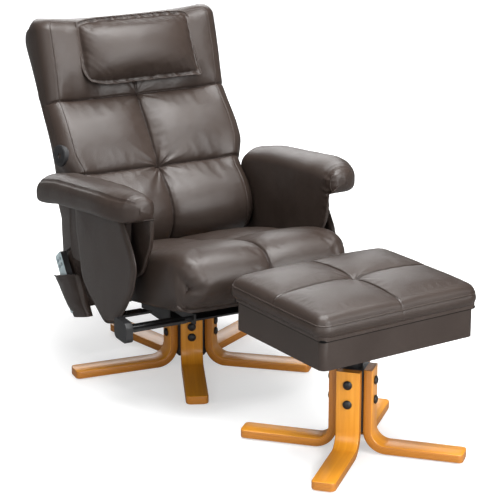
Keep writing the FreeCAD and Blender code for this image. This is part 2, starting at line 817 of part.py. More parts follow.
def board_section(station):
    at, depth, half, puff, low = back_frame_at(station)
    half -= size("layer_gap")
    high = low + size("board_thickness")
    return [line(at(-half, low), at(half, low)), line(at(half, low), at(half, high)),
            line(at(half, high), at(-half, high)), line(at(-half, high), at(-half, low))]


def cushion_section(station):
    # Front padding: two crowned panels that meet at the middle seam, and flat side bands.
    at, depth, half, puff, board_start = back_frame_at(station)
    low = board_start + size("board_thickness") + size("layer_gap")
    high = depth + puff * size("back_puff")
    edge = depth + min(puff, 0) * size("back_puff") - size("back_edge_round")
    valley = depth + min(puff, 0) * size("back_puff") - size("back_seam_depth")
    crest = half / 2
    return [
        line(at(-half, low), at(half, low)),
        line(at(half, low), at(half, edge)),
        arc(at(half, edge), at(crest, high), at(0, valley)),
        arc(at(0, valley), at(-crest, high), at(-half, edge)),
        line(at(-half, edge), at(-half, low)),
    ]


def rear_section(station):
    at, depth, half, puff, board_start = back_frame_at(station)
    high = board_start - size("layer_gap")
    swell = size("back_crown") / 2
    return [
        arc(at(-half, swell), at(0, 0), at(half, swell)),
        line(at(half, swell), at(half, high)),
        line(at(half, high), at(-half, high)),
        line(at(-half, high), at(-half, swell)),
    ]


def make_backrest():
    last = len(BACK_STATION_SHARES) - 1
    solid_feature("back_board", loft([board_section(s) for s in stations_from(0, last)], True))
    solid_feature("back_rear_pad", loft([rear_section(s) for s in stations_from(0, last)], True))

    cushion = loft([cushion_section(s) for s in stations_from(TAIL_STATION_COUNT, last)], True)
    motors = []
    for index in (4, 8):
        at, depth, half, puff, board_start = back_frame_at(BACK_STATION_SHARES[index])
        seat = board_start + size("board_thickness") + size("motor_lift")
        for side in (-1, 1):
            base = Vector(*at(side * half / 2, seat))
            ahead = (Vector(*at(side * half / 2, depth)) - base).normalize()
            motors.append(cylinder(size("back_motor_radius"), size("back_motor_height"), base, ahead))
            room = cylinder(size("back_motor_radius") + size("layer_gap"),
                            size("back_motor_height") + 2 * size("layer_gap"),
                            base - ahead * size("layer_gap"), ahead)
            cushion = cushion.cut(room)
    solid_feature("back_cushion", cushion)
    solid_feature("back_motors", Part.makeCompound(motors))

    control = new_body("control_box")
    half = size("control_width") / 2
    tall = size("control_height") / 2
    outline = rounded([(-half, -tall), (half, -tall), (half, tall), (-half, tall)],
                      [size("control_depth") / 6] * 4)
    add_pad(control, "XY_Plane", outline, "sizes.control_depth")
    foot, run, out = tail_line()
    turn = Rotation(AXIS_X, math.degrees(math.atan2(run.z, run.y)))
    register(control, "control_box", Placement(foot + out * size("layer_gap") / 2, turn))

    side_x = -size("back_width") / 2 - size("seat_gap")
    spot = Vector(side_x, size("socket_y"), size("socket_z"))
    plate = cylinder(size("socket_radius"), size("socket_height"), spot, -AXIS_X)
    for lift in (-1, 1):
        drop = AXIS_Z * lift * size("jack_radius") * 1.6
        floor = AXIS_X * (size("socket_height") - size("jack_depth"))
        jack = cylinder(size("jack_radius"), size("socket_height"), spot + drop - floor, -AXIS_X)
        plate = plate.cut(jack)
    solid_feature("socket_plate", plate)


def make_pillow():
    # The head pillow lies on the top panel, between the upper seam and the top edge.
    low = Vector(0, *BACK_STATION_SHARES[10][:2]) * size("back_height")
    high = Vector(0, *BACK_STATION_SHARES[14][:2]) * size("back_height")
    along = (high - low).normalize()
    ahead = Vector(0, -along.z, along.y)
    middle = (low + high) * 0.5 + along * size("back_crown") * 1.6 + ahead * size("pillow_lift")
    half_height = (high - low).Length * 0.4
    sections = []
    for share, depth_share, height_share in PILLOW_STATION_SHARES:
        x = share * size("pillow_width") / 2
        tall = half_height * height_share
        deep = size("pillow_depth") * depth_share

        def at(rise, reach):
            return tuple(middle + along * rise + ahead * reach + AXIS_X * x)

        lip = deep * 0.2
        sections.append([
            line(at(-tall, 0), at(tall, 0)),
            line(at(tall, 0), at(tall, lip)),
            arc(at(tall, lip), at(0, deep), at(-tall, lip)),
            line(at(-tall, lip), at(-tall, 0)),
        ])
    solid_feature("head_pillow", loft(sections))


# Remote control in its side pouch, both leaning back along the pouch's own axis


def pouch_place():
    x = -size("back_width") / 2 - size("seat_gap") - size("pouch_depth") / 2
    return Placement(Vector(x, size("pouch_y"), size("pouch_z")), Rotation(AXIS_X, -size("pouch_lean")))


def remote_low():
    return 2 * size("pouch_wall") + size("seat_gap")


def button_spots():
    top = remote_low() + size("remote_length") - size("button_top_inset")
    pitch = size("button_pitch")
    return [(pitch / 2 * across, top - pitch * down) for down in (0, 1) for across in (-1, 1)]


def make_remote():
    low_half = size("pouch_low_width") / 2
    high_half = size("pouch_high_width") / 2
    tall = size("pouch_height")
    pouch = new_body("remote_pouch")
    outline = rounded([(-low_half, 0), (low_half, 0), (high_half, tall), (-high_half, tall)],
                      [low_half / 3, low_half / 3, size("pouch_wall"), size("pouch_wall")])
    add_pad(pouch, "YZ_Plane", outline, "sizes.pouch_depth", symmetric=True)
    wall = size("pouch_wall")
    room_x = size("pouch_depth") / 2 - wall
    room_y = low_half - wall
    room = flat([(-room_x, -room_y), (room_x, -room_y), (room_x, room_y), (-room_x, room_y)])
    add_pocket(pouch, "XY_Plane", room, "sizes.pouch_height - 2 * sizes.pouch_wall",
               lift="sizes.pouch_height")
    register(pouch, "remote_pouch", pouch_place())

    case = new_body("remote_case")
    wide = size("remote_width") / 2
    low = remote_low()
    high = low + size("remote_length")
    case_corners = [(-wide, low), (wide, low), (wide, high), (-wide, high)]
    case_outline = rounded(case_corners, [size("remote_round")] * 4)
    add_pad(case, "YZ_Plane", case_outline, "sizes.remote_depth", symmetric=True)
    spots = button_spots()
    wells = [circle(y, z, size("button_radius") + 2 * size("running_gap")) for y, z in spots]
    add_pocket(case, "YZ_Plane", wells, "2 * sizes.button_well", lift="-sizes.remote_depth / 2",
               symmetric=True)
    register(case, "remote_case", pouch_place())
    for i, (y, z) in enumerate(spots, start=1):
        button = doc.addObject("Part::Cylinder", "remote_button_%d" % i)
        button.setExpression("Radius", "sizes.button_radius")
        button.setExpression("Height", "sizes.button_height")
        floor = size("button_well") - size("button_travel") - size("seat_gap")
        spot = Vector(-size("remote_depth") / 2 + floor, y, z)
        register(button, "remote_button_%d" % i,
                 pouch_place().multiply(Placement(spot, Rotation(AXIS_Y, -90))))


# Recline lever


def make_lever():
    # A flat bar on a cross shaft from the mechanism, with a moulded paddle at its outer end.
    pivot = Vector(-size("lever_reach"), size("lever_pivot_y"), size("lever_pivot_z"))
    inner = -size("deck_width") / 2 - size("seat_gap")
    shaft = cylinder(size("lever_shaft_radius"), inner - pivot.x, pivot, AXIS_X)
    wide = size("lever_bar_width")
    thick = size("lever_bar_thickness")
    bar = Part.makeBox(inner - pivot.x - size("lever_bar_inset"), wide, thick,
                       pivot - Vector(0, wide / 2, thick / 2))
    solid_feature("lever_bar", shaft.fuse(bar).removeSplitter())

    grip = new_body("lever_grip")
    half_y = size("grip_length") / 2
    half_z = size("grip_height") / 2
    outline = rounded([(-half_y, -half_z), (half_y, -half_z), (half_y, half_z), (-half_y, half_z)],
                      [size("grip_round")] * 4)
    add_pad(grip, "YZ_Plane", outline, "sizes.grip_thickness", flip=True)
    register(grip, "lever_grip", Placement(pivot - AXIS_X * size("seat_gap"), Rotation()))


# Footstool


STOOL_PLATE_LOW = "sizes.box_low - sizes.post_plate_thickness - 2 * sizes.seat_gap"


def stool_placement(height=0):
    return turned(size("stool_yaw"), Vector(size("stool_x"), size("stool_y"), height))


def make_stool_base():
    center = Vector(size("stool_x"), size("stool_y"), 0)
    bolts = (size("stool_bolt_low"), size("stool_bolt_high"))
    make_star("stool", 4, size("stool_leg_angle"), size("stool_leg_reach"), size("stool_hub_apothem"),
              size("stool_hub_top"), size("stool_hub_low"), bolts, center)
    spindle = doc.addObject("Part::Cylinder", "stool_spindle")
    spindle.setExpression("Radius", "sizes.spindle_radius")
    spindle.setExpression("Height", STOOL_PLATE_LOW + " - sizes.stool_hub_low")
    register(spindle, "stool_spindle", Placement(center + AXIS_Z * size("stool_hub_low"), Rotation()))


def make_stool_box():
    gap = size("seat_gap")
    post = new_body("stool_post")
    bore = size("spindle_radius") + size("running_gap")
    rings = [circle(0, 0, size("post_radius")), circle(0, 0, bore)]
    add_pad(post, "XY_Plane", rings, STOOL_PLATE_LOW + " - sizes.stool_hub_top",
            lift="sizes.stool_hub_top + sizes.seat_gap")
    half = size("post_plate_width") / 2
    plate = rounded([(-half, -half), (half, -half), (half, half), (-half, half)], [size("post_radius")] * 4)
    add_pad(post, "XY_Plane", plate, "sizes.post_plate_thickness",
            lift="sizes.box_low - sizes.post_plate_thickness - sizes.seat_gap")
    register(post, "stool_post", stool_placement())

    box = new_body("stool_box")
    long = size("box_length") / 2
    wide = size("box_width") / 2
    wall = size("box_wall")
    outer = rounded([(-long, -wide), (long, -wide), (long, wide), (-long, wide)], [size("box_corner")] * 4)
    add_pad(box, "XY_Plane", outer, "sizes.box_high - sizes.box_low", lift="sizes.box_low")
    room = flat([(-long + wall, -wide + wall), (long - wall, -wide + wall),
                 (long - wall, wide - wall), (-long + wall, wide - wall)])
    add_pocket(box, "XY_Plane", room, "sizes.box_high - sizes.box_low - sizes.box_wall",
               lift="sizes.box_high")
    register(box, "stool_box", stool_placement())

    lid = new_body("stool_lid")
    spread = size("lid_overhang")
    lid_low = size("box_high") + size("lid_gap")
    lid_outline = rounded([(-long - spread, -wide - spread), (long + spread, -wide - spread),
                           (long + spread, wide + spread), (-long - spread, wide + spread)],
                          [size("box_corner")] * 4)
    add_pad(lid, "XY_Plane", lid_outline, "sizes.lid_thickness", lift="sizes.box_high + sizes.lid_gap")
    register(lid, "stool_lid", stool_placement())

    base = lid_low + size("lid_thickness") + gap
    sections = []
    for share, draw in LID_STATION_SHARES:
        x = share * (long + spread)
        inset = 0 if share == 0 else draw * size("lid_crown")
        seam = size("lid_seam_depth") if share == 0 else 0
        sections.append(lid_section(x, base, wide + spread, inset, seam))
    solid_feature("stool_cushion", loft(sections), stool_placement())


def lid_section(x, base, wide, inset, seam):
    half = wide - inset
    top = size("lid_top") - inset - seam
    edge = top - size("lid_crown") * 1.4
    side = (base + edge) / 2
    valley = top - size("lid_seam_depth")
    draw = size("lid_crown") / 3
    return [
        line((x, -half + draw, base), (x, half - draw, base)),
        arc((x, half - draw, base), (x, half, side), (x, half - draw, edge)),
        arc((x, half - draw, edge), (x, half * 0.5, top), (x, 0, valley)),
        arc((x, 0, valley), (x, -half * 0.5, top), (x, -half + draw, edge)),
        arc((x, -half + draw, edge), (x, -half, side), (x, -half + draw, base)),
    ]


def lid_hinge_place():
    return turned(size("stool_yaw") + 90, Vector(size("stool_x"), size("stool_y"), 0))


def lid_axis():
    # The lid turns on pins just outside one short wall of the box.
    reach = size("box_length") / 2 + size("lid_overhang") + size("lid_hinge_radius") + size("seat_gap")
    return -reach, size("box_high") + size("lid_gap") / 2


def make_lid_hinges():
    y, z = lid_axis()
    radius = size("lid_hinge_radius")
    pin = size("lid_pin_radius")
    gap = size("seat_gap")
    third = size("lid_hinge_length") / 3
    box_side = []
    lid_side = []
    face = -size("box_length") / 2 - gap
    lid_face = size("box_high") + size("lid_gap") + size("lid_thickness")
    for side in (-1, 1):
        x = side * size("lid_hinge_spread") / 2
        for end in (-1, 1):
            start = x + end * (third + gap) - third / 2
            knuckle = cylinder(radius, third, Vector(start, y, z), AXIS_X)
            knuckle = knuckle.cut(cylinder(pin + size("running_gap"), third, Vector(start, y, z), AXIS_X))
            leaf = Part.makeBox(third, radius * 0.5, radius * 5,
                                Vector(start, face - radius * 0.5, z - radius * 5 - radius))
            arm = Part.makeBox(third, abs(face - y) - pin * 1.2, radius * 0.8,
                               Vector(start, y + pin * 1.2, z - radius))
            arm = arm.cut(cylinder(radius, third, Vector(start, y, z), AXIS_X))
            drop = Part.makeBox(third, radius * 0.5, radius * 1.2,
                                Vector(start, face - radius * 0.5, z - radius * 1.2))
            box_side.append(knuckle.fuse([leaf, arm, drop]).removeSplitter())
        knuckle = cylinder(radius, third, Vector(x - third / 2, y, z), AXIS_X)
        shaft = cylinder(pin, 3 * third + 2 * gap, Vector(x - third * 1.5 - gap, y, z), AXIS_X)
        lid_edge = -size("box_length") / 2 - size("lid_overhang") - gap
        leaf = Part.makeBox(third, lid_edge - y, lid_face - z, Vector(x - third / 2, y, z))
        lid_side.append(knuckle.fuse([shaft, leaf]).removeSplitter())
    solid_feature("stool_hinge_box", Part.makeCompound(box_side), lid_hinge_place())
    solid_feature("stool_hinge_lid", Part.makeCompound(lid_side), lid_hinge_place())


def center_set():
    # The origin goes to the middle of the whole set's footprint, on the floor.
    bounds = FreeCAD.BoundBox()
    for piece in pieces:
        bounds.add(piece.Shape.optimalBoundingBox(False))
    shift = Vector(-bounds.Center.x, -bounds.Center.y, 0)
    for piece in pieces:
        place = piece.Placement
        piece.setExpression("Placement.Base.z", None)
        piece.Placement = Placement(place.Base + shift, place.Rotation)
    doc.recompute()
    return shift, bounds


def report(shift, bounds):
    y, z = lid_axis()
    axis = lid_hinge_place().multVec(Vector(0, y, z)) + shift
    print("size", round(bounds.XLength, 2), round(bounds.YLength, 2), round(bounds.ZLength, 2))
    print("chair axis", tuple(shift))
    print("hinge", tuple(Vector(0, size("hinge_y"), size("hinge_z")) + shift))
    lever = Vector(-size("lever_reach"), size("lever_pivot_y"), size("lever_pivot_z"))
    print("lever", tuple(lever + shift))
    print("remote axis", tuple(pouch_place().Rotation.multVec(AXIS_Z)))
    print("stool axis", tuple(Vector(size("stool_x"), size("stool_y"), 0) + shift))
    print("lid axis", tuple(axis), tuple(lid_hinge_place().Rotation.multVec(AXIS_X)))


def write_parts():
    failed = [o.Name for o in doc.Objects if "Invalid" in o.State or "Error" in o.State]
    for piece in pieces:
        if piece.Shape.isNull() or not piece.Shape.isValid():
            failed.append(piece.Label)
    if failed:
        raise ValueError("failed: " + ", ".join(failed))
    os.makedirs("parts", exist_ok=True)
    for piece in pieces:
        piece.Shape.exportStep("parts/%s.step" % piece.Label)


make_chair_base()
make_mechanism()
make_seat_cushion()
make_arm("left", -1)
make_arm("right", 1)
make_hinge()
make_backrest()
make_pillow()
make_remote()
make_lever()
make_stool_base()
make_stool_box()
make_lid_hinges()
doc.recompute()
set_shift, set_bounds = center_set()
report(set_shift, set_bounds)
write_parts()
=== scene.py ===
import bpy
import bmesh
import json
import math
import numpy as np
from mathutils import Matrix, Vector, noise


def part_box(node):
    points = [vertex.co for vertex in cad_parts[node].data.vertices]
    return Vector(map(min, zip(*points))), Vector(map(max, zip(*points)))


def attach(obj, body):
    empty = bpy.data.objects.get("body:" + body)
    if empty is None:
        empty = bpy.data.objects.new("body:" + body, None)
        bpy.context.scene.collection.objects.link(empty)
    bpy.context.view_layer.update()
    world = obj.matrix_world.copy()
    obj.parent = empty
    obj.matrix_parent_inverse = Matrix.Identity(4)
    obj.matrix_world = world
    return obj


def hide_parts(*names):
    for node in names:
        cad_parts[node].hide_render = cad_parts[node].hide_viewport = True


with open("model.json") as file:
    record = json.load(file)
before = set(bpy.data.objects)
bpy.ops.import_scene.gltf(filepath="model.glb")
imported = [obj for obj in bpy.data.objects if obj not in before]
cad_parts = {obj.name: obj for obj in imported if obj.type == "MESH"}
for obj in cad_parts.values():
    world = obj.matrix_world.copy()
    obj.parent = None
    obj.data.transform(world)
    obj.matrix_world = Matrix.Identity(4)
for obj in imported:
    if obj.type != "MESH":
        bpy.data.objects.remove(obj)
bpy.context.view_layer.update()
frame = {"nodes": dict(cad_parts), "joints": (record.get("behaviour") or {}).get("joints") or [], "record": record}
nodes = frame["nodes"]
jointAt = {joint["name"]: joint for joint in frame["joints"]}
chairY = jointAt["seat_swivel"]["pos_m"][1]
stoolX, stoolY = jointAt["stool_swivel"]["pos_m"][:2]
print("frame loaded:", len(nodes), "CAD nodes")


# places, curves and noise: pieces are laid out in millimetres in the chair's own axes

pathSteps = 400
seamCrowd = 1.6  # how much denser a grid is at its seams


def toMetres(points):
    return (np.asarray(points, float) + np.array([0, chairY * 1000, 0])) / 1000


def runOf(path):
    return np.concatenate([[0], np.cumsum(np.linalg.norm(np.diff(path, axis=0), axis=1))])


def nearest(values, goal):
    return int(np.argmin(np.abs(values - goal)))


def placesAt(spots, run, path):
    return np.stack([np.interp(spots, run, path[:, k]) for k in range(2)], 1)


def smoothPath(points, count):
    # even places on a smooth curve through the points, and how far along it they are
    pts = np.asarray(points, float)
    pts = np.vstack([2 * pts[0] - pts[1], pts, 2 * pts[-1] - pts[-2]])
    steps = np.linspace(0, 1, 24, endpoint=False)[:, None]
    rows = []
    for a, b, c, d in zip(pts[:-3], pts[1:-2], pts[2:-1], pts[3:]):
        rows.append(b + 0.5 * steps * (c - a + steps * (2 * a - 5 * b + 4 * c - d
                    + steps * (3 * (b - c) + d - a))))
    dense = np.vstack(rows + [pts[-2:-1]])
    run = runOf(dense)
    even = np.linspace(0, run[-1], count)
    return placesAt(even, run, dense), even


def profileNormals(path, spacing, side):
    tangent = np.gradient(path, spacing, axis=0)
    tangent /= np.linalg.norm(tangent, axis=1)[:, None]
    return side * np.stack([-tangent[:, 1], tangent[:, 0]], 1)


def sheetOver(x, path, normal, lift):
    # a profile drawn out across x, then pushed out along its normals
    y, z = [path[:, k, None] + normal[:, k, None] * lift for k in range(2)]
    return np.stack([x, y, z], -1)


def gather(low, high, count, seams, reach):
    # sample places that crowd together near the seams
    fine = np.linspace(low, high, 4000)
    weight = 1 + seamCrowd * sum(bell(fine - seam, reach) for seam in seams)
    total = np.concatenate([[0], np.cumsum((weight[1:] + weight[:-1]) / 2)])
    return np.interp(np.linspace(0, total[-1], count), total, fine)


def noiseAt(points, size, seed):
    shift = Vector((seed * 3.1, seed * 1.7, seed * 0.9))
    values = [noise.noise(Vector(p) + shift) for p in points.reshape(-1, 3) / size]
    return np.array(values).reshape(points.shape[:-1])


def noiseOver(a, b, c, size, seed):
    return noiseAt(np.stack(np.broadcast_arrays(a, b, c), -1).astype(float), size, seed)


def noiseLine(values, size, seed):
    return noiseOver(values, 0, 0, size, seed)


def ease(x):
    x = np.clip(x, 0, 1)
    return x * x * (3 - 2 * x)


def ramp(value, start, span):
    return ease((value - start) / span)


def bell(distance, width):
    return np.exp(-(distance / width) ** 2)


def fade(distance, reach):
    return np.exp(-np.abs(distance) / reach)


def groove(distance, cuts):
    return sum(depth * bell(distance, width) for depth, width in cuts)


def puckers(distance, along, style, seed):
    # small gathers that run off a seam
    height, reach, size = style
    return height * fade(distance, reach) * noiseLine(along, size, seed) * ramp(np.abs(distance), 0, 8)


def fanFolds(x, y, reach, style, seed):
    # folds that run out from a button
    angle = np.arctan2(y, x)
    folds = noiseOver(np.cos(angle) * style["spread"], np.sin(angle) * style["spread"], reach / style["far"], 1.0, seed)
    return folds * fade(reach, style["fade"]) * ramp(reach, 0, style["start"])


def bulgeOff(share):
    return 1 - np.sqrt(1 - share ** 2)


def acrossPanels(s, edge):
    # 0 in the middle of each half to 1 at its seam; the outer edge keeps part of the stuffing
    a = np.abs(np.abs(s) * 2 - 1)
    return np.where(np.abs(s) > 0.5, edge * a, a)


def puffOf(a, b, sharp=2.4, top=0.75):
    # one stuffed panel, with a and b from -1 to 1 across it
    side = np.clip(1 - np.abs(a) ** sharp, 0, 1) * np.clip(1 - np.abs(b) ** sharp, 0, 1)
    return side ** top


def roundDrop(distance, radius):
    # how far an edge has rolled away at this distance from it
    inside = np.clip(radius - np.asarray(distance, float), 0, radius)
    return radius - np.sqrt(radius ** 2 - inside ** 2)


# meshes

def newObject(name, data):
    obj = bpy.data.objects.new(name, data)
    bpy.context.scene.collection.objects.link(obj)
    return obj


def meshObject(name, verts, faces, mat, smooth=True):
    mesh = bpy.data.meshes.new(name)
    mesh.from_pydata([tuple(v) for v in verts], [], [tuple(f) for f in faces])
    mesh.update()
    bm = bmesh.new()
    bm.from_mesh(mesh)
    bmesh.ops.recalc_face_normals(bm, faces=bm.faces)
    bm.to_mesh(mesh)
    bm.free()
    if smooth:
        mesh.polygons.foreach_set("use_smooth", [True] * len(mesh.polygons))
    mesh.materials.append(mat)
    return newObject(name, mesh)


def gridFaces(rows, cols, start=0, flip=False):
    faces = []
    for i in range(rows - 1):
        for j in range(cols - 1):
            a = start + i * cols + j
            quad = (a, a + 1, a + cols + 1, a + cols)
            faces.append(quad[::-1] if flip else quad)
    return faces


def alongRow(i, *span):
    return [(i, j) for j in range(*span)]


def alongColumn(j, *span):
    return [(i, j) for i in range(*span)]


def rimPlaces(rows, cols):
    rim = alongRow(0, cols) + alongColumn(cols - 1, 1, rows)
    return rim + alongRow(rows - 1, cols - 2, -1, -1) + alongColumn(0, rows - 2, 0, -1)


def padShell(name, face, rear, bandRows, bandSwell, mat):
    # closed cushion: front grid, rear grid of the same size and a band that joins their rims
    rows, cols = face.shape[:2]
    count = rows * cols
    rim = rimPlaces(rows, cols)
    verts = [face.reshape(-1, 3), rear.reshape(-1, 3)]
    faces = gridFaces(rows, cols) + gridFaces(rows, cols, count, True)
    front = np.array([face[i, j] for i, j in rim])
    back = np.array([rear[i, j] for i, j in rim])
    along = np.roll(front, -1, 0) - np.roll(front, 1, 0)
    out = np.cross(along, back - front)
    out /= np.maximum(np.linalg.norm(out, axis=1), 1e-9)[:, None]
    if np.sum(out * (front - front.mean(0))) < 0:
        out = -out
    loops = [[i * cols + j for i, j in rim]]
    for k in range(1, bandRows):
        t = k / bandRows
        verts.append(front + (back - front) * t + out * bandSwell * 4 * t * (1 - t))
        loops.append([2 * count + (k - 1) * len(rim) + n for n in range(len(rim))])
    loops.append([count + i * cols + j for i, j in rim])
    for low, high in zip(loops[:-1], loops[1:]):
        for n in range(len(rim)):
            m = (n + 1) % len(rim)
            faces.append((low[n], high[n], high[m], low[m]))
    return meshObject(name, np.vstack(verts), faces, mat)


def loopFaces(rows, cols):
    faces = []
    for i in range(0, (rows - 1) * cols, cols):
        for j in range(cols):
            k = (j + 1) % cols
            faces.append((i + j, i + k, i + cols + k, i + cols + j))
    return faces


def tubeShell(name, sections, mat):
    # closed loft: equal loops one after the other, a point at each end
    rows, cols = sections.shape[:2]
    verts = np.vstack([sections.reshape(-1, 3), sections[[0, -1]].mean(1)])
    faces = loopFaces(rows, cols)
    for j in range(cols):
        k = (j + 1) % cols
        faces.append((rows * cols, j, k))
        faces.append((rows * cols + 1, (rows - 1) * cols + k, (rows - 1) * cols + j))
    return meshObject(name, verts, faces, mat)


def leafShell(name, outline, style, mat, place):
    # padded panel: rings from its rim to its middle on both faces; outline is in the panel's plane
    middle = outline.mean(0)
    rings = style["rings"]
    shares = np.linspace(0, 1, rings + 1)[:-1]
    rows = []
    for face, order, full in ((1, shares, 1), (-1, shares[::-1], 0.3)):
        for share in order:
            ring = middle + (outline - middle) * (1 - share)
            reach = np.linalg.norm(outline - ring, axis=1)
            lift = style["thickness"] / 2 - roundDrop(reach, style["rimRound"])
            lift = lift + style["swell"] * np.clip(1 - (1 - share) ** 2.2, 0, 1) * full
            rows.append(np.column_stack([face * lift, ring]))
    return tubeShell(name, place(np.stack(rows[:rings][::-1] + rows[rings:][::-1])), mat)


clothStyle = {"pin_stiffness": 1.0, "mass": 0.35, "tension_stiffness": 18, "compression_stiffness": 18,
              "shear_stiffness": 8, "bending_stiffness": 0.6, "quality": 5}


def settle(obj, held, stuffing):
    # cloth under pressure: pinned seams hold, slack leather swells and wrinkles between them
    mesh = obj.data
    rest = np.empty(len(mesh.vertices) * 3)
    mesh.vertices.foreach_get("co", rest)
    rest = rest.reshape(-1, 3)
    pins = np.ones(len(rest))
    pins[:held.size] = np.clip(held, 0, 1).ravel()
    group = obj.vertex_groups.new(name="held")
    for weight in sorted(set(np.round(pins[pins > 0], 2))):
        group.add([int(i) for i in np.nonzero(np.round(pins, 2) == weight)[0]], float(weight), "REPLACE")
    cloth = obj.modifiers.new("stuffing", "CLOTH")
    for label, value in clothStyle.items():
        setattr(cloth.settings, label, value)
    cloth.settings.vertex_group_mass = "held"
    cloth.settings.use_pressure = True
    cloth.settings.uniform_pressure_force = stuffing["pressure"]
    cloth.settings.effector_weights.gravity = 0
    cloth.settings.shrink_min = -stuffing["slack"]
    cloth.collision_settings.use_collision = False
    scene = bpy.context.scene
    scene.frame_start = 1
    cloth.point_cache.frame_start = 1
    cloth.point_cache.frame_end = stuffing["frames"]
    for step in range(1, stuffing["frames"] + 1):
        scene.frame_set(step)
    graph = bpy.context.evaluated_depsgraph_get()
    moved = np.empty(len(mesh.vertices) * 3)
    obj.evaluated_get(graph).data.vertices.foreach_get("co", moved)
    obj.modifiers.remove(cloth)
    obj.vertex_groups.clear()
    scene.frame_set(1)
    step = moved.reshape(-1, 3) - rest
    length = np.maximum(np.linalg.norm(step, axis=1), 1e-9)
    step *= (stuffing["share"] * stuffing["cap"] * np.tanh(length / stuffing["cap"]) / length)[:, None]
    mesh.vertices.foreach_set("co", (rest + step).ravel())
    mesh.update()
    print("settled", obj.name, "mean move mm", round(float(length.mean() * 1000), 1))


def seamLine(obj, cols, places, lift=0.0003, closed=False):
    # grid places as points just off the surface
    spots = [obj.data.vertices[i * cols + j] for i, j in places]
    return [tuple(v.co + v.normal * lift) for v in spots], closed


def finishPiece(obj, body, slotName, *replaced):
    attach(obj, body)
    if replaced:
        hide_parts(*replaced)


def finishSoft(obj, body, fill, *replaced):
    finishPiece(obj, body, "leather", *replaced)


def makeCushion(name, face, rear, held, style, body, fill, *replaced):
    obj = padShell(name, face, rear, *style["band"], brownHide)
    settle(obj, np.maximum.reduce(held), style["stuffing"])
    finishSoft(obj, body, fill, *replaced)
    return obj


# shader nodes and the groups that several finishes share

def feed(tree, node, values):
    for socket, source in values.items():
        if hasattr(source, "is_output"):
            tree.links.new(source, node.inputs[socket])
        else:
            node.inputs[socket].default_value = source


def addNode(tree, kind, values={}, **settings):
    node = tree.nodes.new(kind)
    for key, value in settings.items():
        setattr(node, key, value)
    feed(tree, node, values)
    return node.outputs


def mathNode(tree, operation, a, b=0.0):
    return addNode(tree, "ShaderNodeMath", {0: a, 1: b}, operation=operation)[0]


def timesNode(tree, a, b):
    return mathNode(tree, "MULTIPLY", a, b)


def vectorNode(tree, operation, a, b):
    return addNode(tree, "ShaderNodeVectorMath", {0: a, 1: b}, operation=operation)[0]


def rangeNode(tree, value, low, high, outLow=0.0, outHigh=1.0):
    return addNode(tree, "ShaderNodeMapRange", {"Value": value, "From Min": low, "From Max": high, "To Min": outLow,
                   "To Max": outHigh})[0]


def mixColour(tree, share, a, b):
    return addNode(tree, "ShaderNodeMix", {0: share, 6: a, 7: b}, data_type="RGBA")[2]


def spotNode(tree, kind="Object"):
    return addNode(tree, "ShaderNodeTexCoord")[kind]


def noiseNode(tree, where, scale, detail, more={}):
    return addNode(tree, "ShaderNodeTexNoise", {"Vector": where, "Scale": scale, "Detail": detail, **more})


def bumpNode(tree, height, strength, distance):
    return addNode(tree, "ShaderNodeBump", {"Height": height, "Strength": strength, "Distance": distance})[0]


def newGroup(name, inputs, outputs):
    group = bpy.data.node_groups.new(name, "ShaderNodeTree")
    for label, value in inputs.items():
        group.interface.new_socket(label, in_out="INPUT", socket_type="NodeSocketFloat").default_value = value
    for label in outputs:
        group.interface.new_socket(label, in_out="OUTPUT", socket_type="NodeSocketFloat")
    return group, group.nodes.new("NodeGroupInput").outputs, group.nodes.new("NodeGroupOutput")


def makeHideGrain():
    # pebbled hide: small cells, finer pores and broad soft patches
    group, inn, out = newGroup("hideGrain", {"Cell Size": 420.0, "Patch Size": 9.0}, ("Height", "Patches", "Pores"))
    where = spotNode(group)
    bent = noiseNode(group, where, 60.0, 2.0)["Color"]
    warp = vectorNode(group, "MULTIPLY", bent, (0.004, 0.004, 0.004))
    cells = addNode(group, "ShaderNodeTexVoronoi", {"Vector": vectorNode(group, "ADD", where, warp),
                    "Scale": inn["Cell Size"]}, feature="DISTANCE_TO_EDGE")["Distance"]
    dome = rangeNode(group, cells, 0.0, 0.22)
    fine = noiseNode(group, where, timesNode(group, inn["Cell Size"], 2.7), 3.0)["Fac"]
    patches = noiseNode(group, where, inn["Patch Size"], 4.0, {"Roughness": 0.55})["Fac"]
    height = mathNode(group, "ADD", timesNode(group, dome, 0.75), timesNode(group, fine, 0.35))
    feed(group, out, {"Height": height, "Patches": patches, "Pores": dome})
    return group


def makeEdgeWearAndCreaseShade():
    # mask of raised edges for real wear, and, where Low is above High, of creases and seams for painted shade; broken
    # up by noise
    group, inn, out = newGroup("edgeWearAndCreaseShade", {"Low": 0.52, "High": 0.62, "Breakup": 70.0}, ("Mask",))
    point = addNode(group, "ShaderNodeNewGeometry")["Pointiness"]
    edge = rangeNode(group, point, inn["Low"], inn["High"])
    cloud = noiseNode(group, spotNode(group), inn["Breakup"], 3.0)["Fac"]
    feed(group, out, {"Mask": timesNode(group, edge, rangeNode(group, cloud, 0.35, 0.65, 0.3, 1.0))})
    return group


def makeFineSpeckle():
    # moulded or sprayed surface: fine pimples and faint clouds
    group, inn, out = newGroup("fineSpeckle", {"Speckle Size": 900.0}, ("Height", "Clouds"))
    where = spotNode(group)
    feed(group, out, {"Height": noiseNode(group, where, inn["Speckle Size"], 2.0)["Fac"],
                      "Clouds": noiseNode(group, where, 14.0, 4.0)["Fac"]})
    return group


